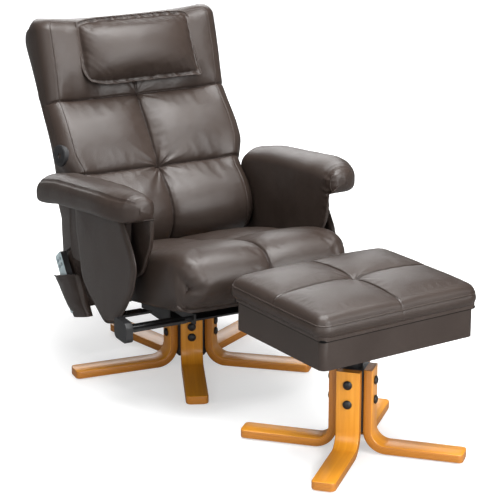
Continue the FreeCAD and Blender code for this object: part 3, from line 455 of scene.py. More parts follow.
def makeTimberGrain():
    # long-grained veneer laid along U, in metres
    group, inn, out = newGroup("timberGrain", {"Along": 3.0, "Across": 110.0}, ("Streaks", "Figure", "Pores"))
    size = addNode(group, "ShaderNodeCombineXYZ", {"X": inn["Along"], "Y": inn["Across"], "Z": 1.0})[0]
    spot = vectorNode(group, "MULTIPLY", spotNode(group, "UV"), size)
    streaks = noiseNode(group, spot, 1.0, 5.0, {"Roughness": 0.6, "Distortion": 0.4})["Fac"]
    wide = vectorNode(group, "MULTIPLY", spot, (0.9, 0.16, 1.0))
    figure = addNode(group, "ShaderNodeTexWave", {"Vector": wide, "Scale": 0.7, "Distortion": 5.0, "Detail": 3.0,
                     "Detail Scale": 0.8}, bands_direction="Y")["Fac"]
    pores = noiseNode(group, vectorNode(group, "MULTIPLY", spot, (9.0, 6.0, 1.0)), 1.0, 2.0)["Fac"]
    feed(group, out, {"Streaks": streaks, "Figure": figure, "Pores": rangeNode(group, pores, 0.62, 0.72)})
    return group


hideGrain = makeHideGrain()
edgeWearAndCreaseShade = makeEdgeWearAndCreaseShade()
fineSpeckle = makeFineSpeckle()
timberGrain = makeTimberGrain()


# finishes

def newMaterial(name):
    mat = bpy.data.materials.new(name)
    mat.use_nodes = True
    return mat, mat.node_tree, mat.node_tree.nodes["Principled BSDF"]


def placeGroup(tree, group, values):
    node = tree.nodes.new("ShaderNodeGroup")
    node.node_tree = group
    feed(tree, node, values)
    return node.outputs


def wearAndCreaseShadeMask(tree, limits):
    return placeGroup(tree, edgeWearAndCreaseShade, {"Low": limits[0], "High": limits[1]})["Mask"]


# the crease limits and crease shine set painted shade in creases and seams: colour pulled towards the pore tone and a
# lower specular
hideLook = {"dark": (0.031, 0.0214, 0.0172, 1), "mid": (0.041, 0.0293, 0.0238, 1), "pore": (0.014, 0.0095, 0.0082, 1),
            "worn": (0.066, 0.048, 0.041, 1), "rough": 0.33, "cell": 460.0, "patch": 9.0, "bump": 0.3,
            "edges": (0.515, 0.6), "creaseShadeLimits": (0.488, 0.44), "shine": 0.38, "creaseShadeShine": 0.06}


def hideMaterial(name, look):
    mat, tree, skin = newMaterial(name)
    grain = placeGroup(tree, hideGrain, {"Cell Size": look["cell"], "Patch Size": look["patch"]})
    wear = wearAndCreaseShadeMask(tree, look["edges"])
    # painted shade: creases and seams get a darker colour, towards the pore tone, and less specular
    creaseShade = wearAndCreaseShadeMask(tree, look["creaseShadeLimits"])
    base = mixColour(tree, rangeNode(tree, grain["Patches"], 0.3, 0.7), look["dark"], look["mid"])
    pored = mixColour(tree, rangeNode(tree, grain["Pores"], 0.0, 1.0, 0.35, 0.0), base, look["pore"])
    worn = mixColour(tree, timesNode(tree, wear, 0.35), pored, look["worn"])
    gloss = rangeNode(tree, grain["Patches"], 0.3, 0.7, look["rough"] - 0.04, look["rough"] + 0.05)
    feed(tree, skin, {"Base Color": mixColour(tree, timesNode(tree, creaseShade, 0.7), worn, look["pore"]),
                      "Roughness": mathNode(tree, "SUBTRACT", gloss, timesNode(tree, wear, 0.06)),
                      "Normal": bumpNode(tree, grain["Height"], look["bump"], 0.0006),
                      "Specular IOR Level": rangeNode(tree, creaseShade, 0.0, 1.0, look["shine"], look["creaseShadeShine"])})
    return mat


veneerLook = {"dark": (0.62, 0.228, 0.010, 1), "light": (0.75, 0.325, 0.030, 1), "figure": (0.57, 0.2, 0.010, 1),
              "pore": (0.46, 0.165, 0.015, 1), "coat": 0.18, "coatRough": 0.2}


def veneerMaterial(name, look):
    mat, tree, skin = newMaterial(name)
    grain = placeGroup(tree, timberGrain, {"Along": 3.2, "Across": 120.0})
    base = mixColour(tree, rangeNode(tree, grain["Streaks"], 0.3, 0.7), look["dark"], look["light"])
    figured = mixColour(tree, timesNode(tree, grain["Figure"], 0.3), base, look["figure"])
    feed(tree, skin, {"Base Color": mixColour(tree, timesNode(tree, grain["Pores"], 0.4), figured, look["pore"]),
                      "Roughness": rangeNode(tree, grain["Streaks"], 0.3, 0.7, 0.3, 0.38),
                      "Normal": bumpNode(tree, grain["Streaks"], 0.12, 0.0005),
                      "Coat Weight": look["coat"], "Coat Roughness": look["coatRough"]})
    return mat


plyLook = {"odd": (0.46, 0.155, 0.012, 1), "even": (0.58, 0.23, 0.025, 1), "glue": (0.12, 0.035, 0.006, 1),
           "streak": (0.26, 0.085, 0.012, 1), "ply": 0.0018, "coat": 0.25, "coatRough": 0.2}


def plyEdgeMaterial(name, look):
    # stacked plies seen on the cut edge: V runs through the thickness
    mat, tree, skin = newMaterial(name)
    grain = placeGroup(tree, timberGrain, {"Along": 6.0, "Across": 260.0})
    through = addNode(tree, "ShaderNodeSeparateXYZ", {0: spotNode(tree, "UV")})["Y"]
    wobble = timesNode(tree, grain["Streaks"], 0.0007)
    ply = timesNode(tree, mathNode(tree, "ADD", through, wobble), 1 / look["ply"])
    odd = rangeNode(tree, mathNode(tree, "PINGPONG", ply, 1.0), 0.35, 0.65)
    glue = rangeNode(tree, mathNode(tree, "FRACT", ply), 0.0, 0.14, 1.0, 0.0)
    lined = mixColour(tree, timesNode(tree, glue, 0.6), mixColour(tree, odd, look["odd"], look["even"]), look["glue"])
    streak = rangeNode(tree, grain["Streaks"], 0.35, 0.7, 0.0, 0.35)
    feed(tree, skin, {"Base Color": mixColour(tree, streak, lined, look["streak"]),
                      "Roughness": rangeNode(tree, grain["Streaks"], 0.3, 0.7, 0.34, 0.44),
                      "Normal": bumpNode(tree, glue, 0.15, -0.0004),
                      "Coat Weight": look["coat"], "Coat Roughness": look["coatRough"]})
    return mat


def speckleMaterial(name, dark, light, rough, speckle, bump, metallic=0.0, wearTone=None, shine=0.5):
    mat, tree, skin = newMaterial(name)
    grain = placeGroup(tree, fineSpeckle, {"Speckle Size": speckle})
    base = mixColour(tree, rangeNode(tree, grain["Clouds"], 0.3, 0.7), (*dark, 1), (*light, 1))
    if wearTone:
        base = mixColour(tree, timesNode(tree, wearAndCreaseShadeMask(tree, (0.54, 0.66)), 0.5), base, (*wearTone, 1))
    feed(tree, skin, {"Base Color": base, "Metallic": metallic, "Specular IOR Level": shine,
                      "Roughness": rangeNode(tree, grain["Clouds"], 0.3, 0.7, rough - 0.05, rough + 0.05),
                      "Normal": bumpNode(tree, grain["Height"], bump, 0.0003)})
    return mat


def webbingMaterial(name):
    mat, tree, skin = newMaterial(name)
    where = spotNode(tree)
    warp, weft = [addNode(tree, "ShaderNodeTexWave", {"Vector": where, "Scale": 160.0}, bands_direction=way)["Fac"]
                  for way in ("X", "Y")]
    weave = mathNode(tree, "MAXIMUM", warp, weft)
    feed(tree, skin, {"Base Color": mixColour(tree, weave, (0.01, 0.01, 0.01, 1), (0.03, 0.03, 0.03, 1)),
                      "Normal": bumpNode(tree, weave, 0.5, 0.0006), "Roughness": 0.85})
    return mat


brownHide = hideMaterial("brownHide", hideLook)
honeyVeneer = veneerMaterial("honeyVeneer", veneerLook)
plyEdge = plyEdgeMaterial("plyEdge", plyLook)
blackCoat = speckleMaterial("blackCoat", (0.010, 0.010, 0.011), (0.016, 0.016, 0.017), 0.42, 1400.0, 0.25,
                            wearTone=(0.06, 0.06, 0.06))
brightSteel = speckleMaterial("brightSteel", (0.5, 0.5, 0.5), (0.62, 0.62, 0.62), 0.28, 700.0, 0.08, 1.0)
blackMoulding = speckleMaterial("blackMoulding", (0.011, 0.011, 0.012), (0.017, 0.017, 0.018), 0.46, 1100.0, 0.3)
# near black and nearly unreflecting: painted shade for the gap under the footstool cushion
shadowGapBlack = speckleMaterial("shadowGapBlack", (0.002, 0.002, 0.002), (0.004, 0.004, 0.004), 0.8, 900.0, 0.2, shine=0.08)
greyMoulding = speckleMaterial("greyMoulding", (0.16, 0.2, 0.22), (0.2, 0.245, 0.265), 0.32, 900.0, 0.06)
paleFace = speckleMaterial("paleFace", (0.4, 0.5, 0.53), (0.47, 0.57, 0.6), 0.2, 700.0, 0.04)
rawPly = speckleMaterial("rawPly", (0.42, 0.28, 0.14), (0.52, 0.36, 0.2), 0.6, 300.0, 0.3)
brownThread = speckleMaterial("brownThread", (0.010, 0.007, 0.006), (0.018, 0.013, 0.011), 0.6, 2400.0, 0.5, shine=0.12)
blackWebbing = webbingMaterial("blackWebbing")
print("materials ready")


# geometry node trees: trim that repeats or follows a line

def newTree(name, values):
    tree = bpy.data.node_groups.new(name, "GeometryNodeTree")
    tree.interface.new_socket("Geometry", in_out="INPUT", socket_type="NodeSocketGeometry")
    for label, value in values.items():
        tree.interface.new_socket(label, in_out="INPUT", socket_type="NodeSocketFloat").default_value = value
    tree.interface.new_socket("Finish", in_out="INPUT", socket_type="NodeSocketMaterial")
    tree.interface.new_socket("Geometry", in_out="OUTPUT", socket_type="NodeSocketGeometry")
    return tree, tree.nodes.new("NodeGroupInput").outputs


def endTree(tree, inn, shape):
    real = addNode(tree, "GeometryNodeRealizeInstances", {"Geometry": shape})[0]
    soft = addNode(tree, "GeometryNodeSetShadeSmooth", {"Geometry": real})[0]
    done = addNode(tree, "GeometryNodeSetMaterial", {"Geometry": soft, "Material": inn["Finish"]})[0]
    addNode(tree, "NodeGroupOutput", {0: done})
    return tree


def makePipingTree():
    tree, inn = newTree("pipingTree", {"Radius": 0.003, "Spacing": 0.006})
    line = addNode(tree, "GeometryNodeMeshToCurve", {"Mesh": inn["Geometry"]})[0]
    even = addNode(tree, "GeometryNodeResampleCurve", {"Curve": line, "Length": inn["Spacing"]}, mode="LENGTH")[0]
    ring = addNode(tree, "GeometryNodeCurvePrimitiveCircle", {"Resolution": 8, "Radius": inn["Radius"]})[0]
    tube = addNode(tree, "GeometryNodeCurveToMesh", {"Curve": even, "Profile Curve": ring, "Fill Caps": True})[0]
    return endTree(tree, inn, tube)


def makeStitchTree():
    tree, inn = newTree("stitchTree", {"Stitch Length": 0.0045, "Thickness": 0.0010, "Pitch": 0.0062})
    line = addNode(tree, "GeometryNodeMeshToCurve", {"Mesh": inn["Geometry"]})[0]
    points = addNode(tree, "GeometryNodeCurveToPoints", {"Curve": line, "Length": inn["Pitch"]}, mode="LENGTH")
    bead = addNode(tree, "GeometryNodeMeshUVSphere", {"Segments": 6, "Rings": 4, "Radius": 0.5})[0]
    shape = addNode(tree, "ShaderNodeCombineXYZ", {"X": inn["Thickness"], "Y": inn["Thickness"],
                    "Z": inn["Stitch Length"]})[0]
    put = addNode(tree, "GeometryNodeInstanceOnPoints", {"Points": points["Points"], "Instance": bead,
                  "Rotation": points["Rotation"], "Scale": shape})[0]
    return endTree(tree, inn, put)


def makeFastenerTree():
    # domed head with a small flat washer rim, on every point, turned to the point's aim
    tree, inn = newTree("fastenerTree", {"Head Radius": 0.009, "Head Height": 0.005, "Rim": 0.0015})
    dome = addNode(tree, "GeometryNodeMeshUVSphere", {"Segments": 24, "Rings": 12, "Radius": 1.0})[0]
    squat = addNode(tree, "ShaderNodeCombineXYZ", {"X": inn["Head Radius"], "Y": inn["Head Radius"],
                    "Z": inn["Head Height"]})[0]
    head = addNode(tree, "GeometryNodeTransform", {"Geometry": dome, "Scale": squat})[0]
    wide = timesNode(tree, inn["Head Radius"], 1.12)
    rim = addNode(tree, "GeometryNodeMeshCylinder", {"Vertices": 24, "Radius": wide, "Depth": inn["Rim"]})["Mesh"]
    both = tree.nodes.new("GeometryNodeJoinGeometry")
    for half in (head, rim):
        tree.links.new(half, both.inputs[0])
    aim = addNode(tree, "GeometryNodeInputNamedAttribute", {"Name": "aim"}, data_type="FLOAT_VECTOR")[0]
    turn = addNode(tree, "FunctionNodeAlignEulerToVector", {"Vector": aim}, axis="Z")[0]
    put = addNode(tree, "GeometryNodeInstanceOnPoints", {"Points": inn["Geometry"], "Instance": both.outputs[0],
                  "Rotation": turn})[0]
    return endTree(tree, inn, put)


pipingTree = makePipingTree()
stitchTree = makeStitchTree()
fastenerTree = makeFastenerTree()


def runTree(name, tree, obj, values):
    mod = obj.modifiers.new(tree.name, "NODES")
    mod.node_group = tree
    sockets = {s.name: s.identifier for s in tree.interface.items_tree if s.in_out == "INPUT"}
    for key, value in values.items():
        mod[sockets[key]] = value
    graph = bpy.context.evaluated_depsgraph_get()
    mesh = bpy.data.meshes.new_from_object(obj.evaluated_get(graph))
    bpy.data.objects.remove(obj)
    return newObject(name, mesh)


def lineMesh(lines):
    # several open or closed point lines as loose edges
    verts = []
    edges = []
    for points, closed in lines:
        start = len(verts)
        verts += [tuple(p) for p in points]
        edges += [(start + i, start + i + 1) for i in range(len(points) - 1)]
        if closed:
            edges.append((len(verts) - 1, start))
    mesh = bpy.data.meshes.new("seamLines")
    mesh.from_pydata(verts, edges, [])
    return newObject("seamLines", mesh)


def pipingPiece(name, lines, radius, body, mat=brownHide, slotName="leather"):
    piece = runTree(name, pipingTree, lineMesh(lines), {"Radius": radius, "Finish": mat})
    finishPiece(piece, body, slotName)


def stitchPiece(name, lines, body):
    piece = runTree(name, stitchTree, lineMesh(lines), {"Finish": brownThread})
    finishPiece(piece, body, "leather")


def fastenerPiece(name, spots, radius, height, body, mat, slotName):
    mesh = bpy.data.meshes.new("fastenerSpots")
    mesh.from_pydata([tuple(p) for p, aim in spots], [], [])
    aims = mesh.attributes.new("aim", "FLOAT_VECTOR", "POINT")
    aims.data.foreach_set("vector", np.array([aim for p, aim in spots], float).ravel())
    piece = runTree(name, fastenerTree, newObject("fastenerSpots", mesh),
                    {"Head Radius": radius, "Head Height": height, "Rim": height * 0.35, "Finish": mat})
    finishPiece(piece, body, slotName)


# bent plywood legs

legStyle = {"width": 0.062, "thickness": 0.022, "bend": 0.038, "glide": 0.004, "edgeRound": 0.0025, "tipRound": 0.012,
            "cap": {"radius": 0.0105, "height": 0.0055, "stand": 0.0035}}
chairBase = {"count": 5, "start": -113.4, "reach": 0.35, "inner": 0.0493, "top": 0.15, "bolts": (0.097, 0.128),
             "screws": {"at": 0.062, "radius": 0.0062, "height": 0.0035}}
stoolBase = {"count": 4, "start": 45.0, "reach": 0.292, "inner": 0.0343, "top": 0.226, "bolts": (0.14, 0.192)}


def legPath(base):
    # middle line of the bent board: down the upright, round the bend, out to the tip
    mid = legStyle["bend"] + legStyle["thickness"] / 2
    low = legStyle["glide"] + legStyle["thickness"] / 2
    upright = base["inner"] + legStyle["thickness"] / 2
    path = [(upright, z) for z in np.linspace(base["top"], low + mid, 14)]
    for turn in np.linspace(0, math.pi / 2, 15)[1:]:
        path.append((upright + mid - mid * math.cos(turn), low + mid - mid * math.sin(turn)))
    tip = [base["reach"] - legStyle["tipRound"] * (1 - math.sin(a)) for a in np.linspace(0, math.pi / 2, 7)]
    path += [(r, low) for r in np.linspace(path[-1][0], tip[0], 16)[1:]] + [(r, low) for r in tip[1:]]
    return np.array(path)


def legMesh(name, base, angle, center):
    h, half, tipRound = legStyle["thickness"] / 2, legStyle["width"] / 2, legStyle["tipRound"]
    path = legPath(base)
    run = runOf(path)
    r = legStyle["edgeRound"]
    e = r * 0.3
    verts = []
    uvs = []
    for k, (spot, up) in enumerate(zip(path, profileNormals(path, 1.0, 1))):
        wide = half
        if spot[0] > base["reach"] - tipRound - 1e-9:
            gap = tipRound - (base["reach"] - spot[0])
            wide = half - tipRound + math.sqrt(max(tipRound ** 2 - gap ** 2, 0))
        section = [(wide - r, h), (wide - e, h - e), (wide, h - r), (wide, r - h), (wide - e, e - h), (wide - r, -h)]
        section += [(-across, -deep) for across, deep in section]
        for across, deep in section:
            out = spot[0] + up[0] * deep
            verts.append((center[0] + out * math.cos(angle) - across * math.sin(angle),
                          center[1] + out * math.sin(angle) + across * math.cos(angle), spot[1] + up[1] * deep))
            uvs.append((run[k] + angle, across, deep))
    count = len(section)
    faces = loopFaces(len(path), count) + [range(count)[::-1], range(len(verts) - count, len(verts))]
    kinds = [int(j % 6 in (1, 2, 3)) for j in range(len(faces) - 2)] + [1, 1]  # 1 on the cut edges
    obj = meshObject(name, verts, faces, honeyVeneer)
    obj.data.materials.append(plyEdge)
    layer = obj.data.uv_layers.new(name="UVMap")
    for poly, kind in zip(obj.data.polygons, kinds):
        poly.material_index = kind
        cap = len(poly.vertices) > 4
        poly.use_smooth = not cap
        for loop in poly.loop_indices:
            u, across, deep = uvs[obj.data.loops[loop].vertex_index]
            layer.data[loop].uv = (across, deep + 0.02) if cap else (u, deep + 0.02) if kind else (u, across)
    obj.data.set_sharp_from_angle(angle=math.radians(50))
    return obj


def makeLegs(prefix, nodePrefix, base, center, body):
    spots = []
    cap = legStyle["cap"]
    face = base["inner"] + legStyle["thickness"] + cap["stand"]
    for k in range(base["count"]):
        angle = math.radians(base["start"] + 360 / base["count"] * k)
        leg = legMesh("%sLeg%d" % (prefix, k + 1), base, angle, center)
        finishPiece(leg, body, "wood", "%s_leg_%d" % (nodePrefix, k + 1))
        for z in base["bolts"]:
            spots.append(((center[0] + face * math.cos(angle), center[1] + face * math.sin(angle), z),
                          (math.cos(angle), math.sin(angle), 0)))
    fastenerPiece(prefix + "BoltCaps", spots, cap["radius"], cap["height"], body, blackMoulding, "black_plastic")


def makePlateScrews():
    screws = chairBase["screws"]
    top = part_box("base_top_plate")[1].z
    spots = []
    for k in range(5):
        turn = math.radians(chairBase["start"] + 72 * (k + 0.5))
        spots.append(((screws["at"] * math.cos(turn), chairY + screws["at"] * math.sin(turn), top), (0, 0, 1)))
    fastenerPiece("plateScrews", spots, screws["radius"], screws["height"], "base", brightSteel, "bright_steel")


makeLegs("chair", "base", chairBase, (0.0, chairY), "base")
makeLegs("stool", "stool", stoolBase, (stoolX, stoolY), "stool_base")
makePlateScrews()
print("legs, bolt caps and screws placed")


# backrest: profiles as (y, z) from the hip upwards

backStyle = {
    "halfWidth": 264, "flare": 21, "edgeRound": 44, "topRound": 36, "cornerRound": 30, "saddle": 18, "crown": 2,
    "front": [(143, 163), (184, 243), (158, 300), (114, 350), (99, 405), (122, 462), (188, 530), (258, 618),
              (330, 711), (370, 815), (399, 902), (405, 929)],
    "rear": [(235, 135), (305, 228), (316, 305), (319, 388), (304, 478), (334, 575), (396, 672), (460, 776),
             (510, 854), (502, 914)],
    "seamHeights": (312, 534, 716), "puff": (20, 32, 34), "fans": (11, 4), "dimples": (9, 5),
    "crossCuts": ((4.2, 2.6), (1.5, 11)), "middleCuts": ((4.0, 2.6), (1.5, 11)), "crossPuckers": (2.0, 34, 21),
    "middlePuckers": (1.6, 30, 19), "fan": {"spread": 3.2, "far": 260, "fade": 62, "start": 12}, "flareFrom": (518, 65),
    "underPillow": (110, 70), "rearFlare": 17, "rearFlareFrom": (375, 90), "rearCorner": 28, "rearEdge": 20,
    "rearCrown": 8, "pipingAt": -0.875, "piping": 0.0017, "band": (16, 0.004), "rows": 225, "cols": 143,
    "stuffing": {"pressure": 0.9, "slack": 0.006, "frames": 10, "cap": 0.008, "share": 0.42},
}


def backRear(su, style):
    rear, run = smoothPath(style["rear"], style["rows"])
    half = style["halfWidth"] + style["rearFlare"] * ramp(rear[:, 1, None], *style["rearFlareFrom"])  # above the remote
    wide = half - roundDrop(run[-1] - run, style["rearCorner"])[:, None]
    sink = 1.2 * noiseOver(su * half, run[:, None], 400, 90, 5) - style["rearCrown"] * su ** 2
    sink -= roundDrop((1 - np.abs(su)) * half, style["rearEdge"])
    return sheetOver(su * wide, rear, profileNormals(rear, 1.0, -1), sink)


def makeBack():
    style = backStyle
    rows, cols = style["rows"], style["cols"]
    path, even = smoothPath(style["front"], pathSteps)
    length = even[-1]
    seams = [np.interp(h, path[:, 1], even) for h in style["seamHeights"]]
    run = gather(0, length, rows, seams[1:], 12)
    front = placesAt(run, even, path)
    u = gather(-1, 1, cols, (-1, 0, 1), 0.045)
    su, sv = np.meshgrid(u, run)
    side, height, fromTop = np.abs(su), front[:, 1, None], length - sv
    half = style["halfWidth"] + style["flare"] * ramp(height, *style["flareFrom"]) + 3 * bell(height - 610, 50)
    x = su * (half - roundDrop(fromTop, style["cornerRound"]))
    shallow = 1 - 0.3 * ramp(side, 0.7, 0.25) * ramp(sv, seams[1] - 45, 30)  # upper seams fade at the sides
    underPillow = 0.4 + 0.6 * ramp(np.abs(x), *style["underPillow"])
    lift = np.zeros_like(x)
    for low, high, puff, share in zip(seams, seams[1:] + [length + 30], style["puff"], (1, 1, underPillow)):
        b = (sv - low) / (high - low) * 2 - 1
        lift += np.where(np.abs(b) <= 1, puff * share * puffOf(acrossPanels(su, 0.55), b * shallow), 0)
    lift -= style["crown"] * side ** 3 + roundDrop((1 - side) * half, style["edgeRound"])
    lift -= roundDrop(fromTop, style["topRound"]) * 0.9
    for n, seam in enumerate(seams[1:]):
        d = sv - seam
        reach = np.hypot(d, x * 0.9)
        lift -= groove(d, style["crossCuts"]) + style["dimples"][n] * bell(reach, 14)
        lift += puckers(d, x + 0.25 * d, style["crossPuckers"], 3 + n)
        lift += style["fans"][n] * fanFolds(x, d, reach, style["fan"], 11 + n)
    lift -= groove(x, style["middleCuts"]) * ramp(sv, seams[0], 40)
    lift += puckers(x, sv, style["middlePuckers"], 8) + 1.3 * noiseOver(x, sv, 0, 85, 2)
    face = sheetOver(x, front, profileNormals(front, run, 1), lift)
    face[..., 2] += style["saddle"] * side ** 2 * ramp(sv, seams[2], length - seams[2])
    held = [bell(sv - seams[1], 9), bell(sv - seams[2], 9), bell(x, 8), ramp(side, 0.9, 0.06),
            1 - ramp(sv, seams[0], 30), ramp(-fromTop, -30, 20)]
    obj = makeCushion("backCover", toMetres(face), toMetres(backRear(su, style)), held, style,
                      "back", 0.7, "back_cushion", "back_rear_pad")
    left = nearest(u, style["pipingAt"])
    right = cols - 1 - left
    rim = alongColumn(left, rows - 3) + alongRow(rows - 3, left, right) + alongColumn(right, rows - 3, -1, -1)
    rearRim = alongColumn(4, rows + 6, 2 * rows - 4) + alongRow(2 * rows - 4, 5, cols - 4)
    rearRim += alongColumn(cols - 5, 2 * rows - 5, rows + 5, -1)
    paths = [seamLine(obj, cols, rim, 0.0), seamLine(obj, cols, rearRim, 0.0005)]
    pipingPiece("backPiping", paths, style["piping"], "back")
    firstRow = int(np.searchsorted(run, seams[0])) + 10
    lines = [seamLine(obj, cols, alongColumn(cols // 2 + off, firstRow, rows - 5)) for off in (-2, 2)]
    lines += [seamLine(obj, cols, alongRow(nearest(run, seam) + 2, 3, cols - 3)) for seam in seams[1:]]
    stitchPiece("backStitches", lines, "back")
    return obj


backCover = makeBack()
print("backrest built")


# seat: profile as (y, z) from the rear over the top and under the nose

seatStyle = {
    "halfWidth": 254, "sideRound": 40, "cornerRound": 52, "cornerFrom": -330, "cornerLong": 155, "crown": 7,
    "puff": 13, "frontPuff": 14.95, "crossSeam": -187,
    "crossCuts": ((2.6, 2.8), (1.2, 11)), "middleCuts": ((3.2, 2.8), (1.2, 11)), "crossPuckers": (1.6, 34, 22),
    "middlePuckers": (1.2, 24, 24), "dimple": 4, "cornerFolds": 2.6, "band": (14, 0.009),
    "top": [(90, 318), (82, 344), (40, 352), (-60, 376), (-187, 408), (-300, 440), (-385, 456), (-440, 450),
            (-478, 415), (-484, 372), (-462, 334), (-436, 318)],
    "base": [(88, 219), (-170, 268), (-426, 316.5)],
    "rows": 190, "cols": 131, "stuffing": {"pressure": 0.9, "slack": 0.006, "frames": 10, "cap": 0.008, "share": 0.6},
}


def seatUnderside(su, wide, top, style):
    base = smoothPath(style["base"], style["rows"])[0]
    footY = np.minimum.accumulate(np.clip(top[:, 0], base[-1, 0], base[0, 0])) - np.arange(style["rows"]) * 0.02
    footZ = np.interp(-footY, -base[:, 0], base[:, 1])
    return np.stack(np.broadcast_arrays(su * (wide - 8), footY[:, None], footZ[:, None]), -1)


def makeSeat():
    style = seatStyle
    rows, cols, half = style["rows"], style["cols"], style["halfWidth"]
    path, even = smoothPath(style["top"], pathSteps)
    run = gather(0, even[-1], rows, (even[nearest(path[:, 0], style["crossSeam"])],), 12)
    top = placesAt(run, even, path)
    cross = run[nearest(top[:, 0], style["crossSeam"])]
    noseRun = run[np.argmin(top[:, 0])]
    su, sv = np.meshgrid(gather(-1, 1, cols, (-1, 0, 1), 0.05), run)
    side, toEnd = np.abs(su), run[-1] - sv
    nose = np.clip((style["cornerFrom"] - top[:, 0, None]) / style["cornerLong"], 0, 1)
    wide = half - style["cornerRound"] * 0.55 * (1 - np.sqrt(1 - nose ** 2.4))
    x = su * wide
    under = run[-1] - 40
    lift = np.zeros_like(x)
    for low, high, puff in ((20, cross, style["puff"]), (cross, under, style["frontPuff"])):
        b = (sv - low) / (high - low) * 2 - 1
        lift += puff * puffOf(acrossPanels(su, 0.6), b, 2.2, 0.8)
    lift -= roundDrop((1 - side) * half, style["sideRound"]) * 0.9 + style["crown"] * side ** 4
    d = sv - cross
    lift -= groove(d, style["crossCuts"]) + style["dimple"] * bell(np.hypot(d, x), 15)
    lift -= groove(x, style["middleCuts"]) * ramp(toEnd, 0, 40)
    lift += puckers(d, x, style["crossPuckers"], 5) + puckers(x, sv, style["middlePuckers"], 6)
    corner = bell(np.abs(x) - half * 0.88, 30) * ramp(sv, noseRun - 130, 80) * ramp(toEnd, 0, 60)
    lift += style["cornerFolds"] * corner * noiseOver(x * 0.35 + sv, x * 0.2, sv * 0.1, 17, 9)
    lift += 1.4 * noiseOver(x, sv, 900, 90, 4)
    face = sheetOver(x, top, profileNormals(top, run, -1), lift)
    rear = seatUnderside(su, wide, top, style)
    held = [bell(x, 8), bell(d, 10) * 0.9, ramp(side, 0.9, 0.07), ramp(-sv, -30, 20), ramp(sv, under, 20)]
    obj = makeCushion("seatCover", toMetres(face), toMetres(rear), held, style, "seat", 0.7, "seat_cushion")
    lines = [seamLine(obj, cols, alongColumn(cols // 2 + off, 8, rows - 12)) for off in (-2, 2)]
    lines.append(seamLine(obj, cols, alongRow(nearest(run, cross) + 2, 3, cols - 3)))
    stitchPiece("seatStitches", lines, "seat")


makeSeat()
print("seat built")


# head pillow

pillowStyle = {"halfWidth": 188, "middle": 8, "low": (319, 755), "high": (395, 935), "thick": 56, "stand": 10,
               "sheet": 3, "ear": 0.15, "piping": 0.0024, "band": (3, 0.0006), "rows": 70, "cols": 116,
               "stuffing": {"pressure": 1.2, "slack": 0.008, "frames": 10, "cap": 0.007, "share": 0.6}}


def makePillow():
    style = pillowStyle
    rows, cols = style["rows"], style["cols"]
    low, high = np.array(style["low"], float), np.array(style["high"], float)
    length = np.linalg.norm(high - low)
    along = (high - low) / length
    ahead = np.array([-along[1], along[0]])
    su, sv = np.meshgrid(np.linspace(-1, 1, cols), np.linspace(-1, 1, rows))
    ear = np.where(su < 0, style["ear"], 0)  # of the lower corners one is an ear, one is full
    pinch = 1 - 0.05 * (1 - sv ** 2) * su ** 6
    x = style["middle"] + su * style["halfWidth"] * pinch * (1 - np.where(sv < 0, ear, 0.08) * sv ** 4)
    bow = 1 - 0.05 * (1 - su ** 2) * np.where(sv > 0, 0.5, 0.2)
    rise = length / 2 * (1 + sv * bow * (1 - np.where(sv < 0, ear, 0.1) * su ** 6))
    rise += 2.6 * noiseLine(x, 16, 21) * ramp(-sv, 0.75, 0.25)
    full = puffOf(su * 1.06, sv * 1.13, 2.0, 0.5)
    swell = style["thick"] * full + 3.0 * noiseLine(x, 26, 22) * fade(sv + 1, 0.3) * full ** 0.3
    swell += 1.8 * noiseOver(x, rise, 50, 60, 23) * full
    ripple = 4.5 * noiseLine(x + rise * 0.9, 15, 24) * (1 - full) ** 2

    def sheet(off):
        return toMetres(np.stack([x] + [low[k] + along[k] * rise + ahead[k] * off for k in range(2)], -1))

    stand = style["stand"]
    held = [ramp(np.abs(s), 0.9, 0.08) for s in (su, sv)]
    obj = makeCushion("headPillow", sheet(stand + swell + ripple), sheet(stand - style["sheet"] + ripple * 0.8),
                      held, style, "back", 0.85, "head_pillow")
    rim = seamLine(obj, cols, rimPlaces(rows, cols), 0.0004, True)
    pipingPiece("pillowPiping", [rim], style["piping"], "back")
    stitchPiece("pillowStitches", [seamLine(obj, cols, alongRow(4, 4, cols - 4))], "back")


makePillow()
print("head pillow built")


# arms: height as (y, share of the depth), hang as (y, how far the inner sheet reaches down)

armStyle = {
    "inner": 266, "outer": 384, "front": -342, "rear": 202, "base": 503, "slope": 0.126, "droop": 9, "tailDrop": 9,
    "droopFrom": (200, 110), "tailFrom": (60, 130), "toeFrom": (-40, 200), "depth": 86, "dome": 17, "toeIn": 8,
    "noseLong": 148, "noseWide": 80, "tipLong": 34, "tipWide": 27,
    "tailLong": 24, "tailInner": 4, "tailOuter": 22, "sheet": 11, "hem": 4, "cornerAt": -328, "rows": 170, "cols": 66,
    "seamShare": 0.49, "piping": 0.0015, "pipingBack": 13,
    "height": [(-342, 0.16), (-340, 0.38), (-336, 0.58), (-329, 0.74), (-316, 0.87), (-296, 0.95), (-260, 0.985),
               (-200, 1.0), (60, 1.0), (150, 0.98), (184, 0.95), (196, 0.87), (202, 0.72)],
    "hang": [(-322, 0), (-314, 58), (-306, 78), (-285, 108), (-268, 138), (-248, 162), (-205, 182), (-60, 187),
             (110, 182), (150, 180), (184, 174), (196, 150), (200, 60), (202, 0)],
}


def armBase(y):
    style = armStyle
    ends = style["droop"] * ramp(-y, *style["droopFrom"]) + style["tailDrop"] * ramp(y, *style["tailFrom"])
    return style["base"] - style["slope"] * y - ends


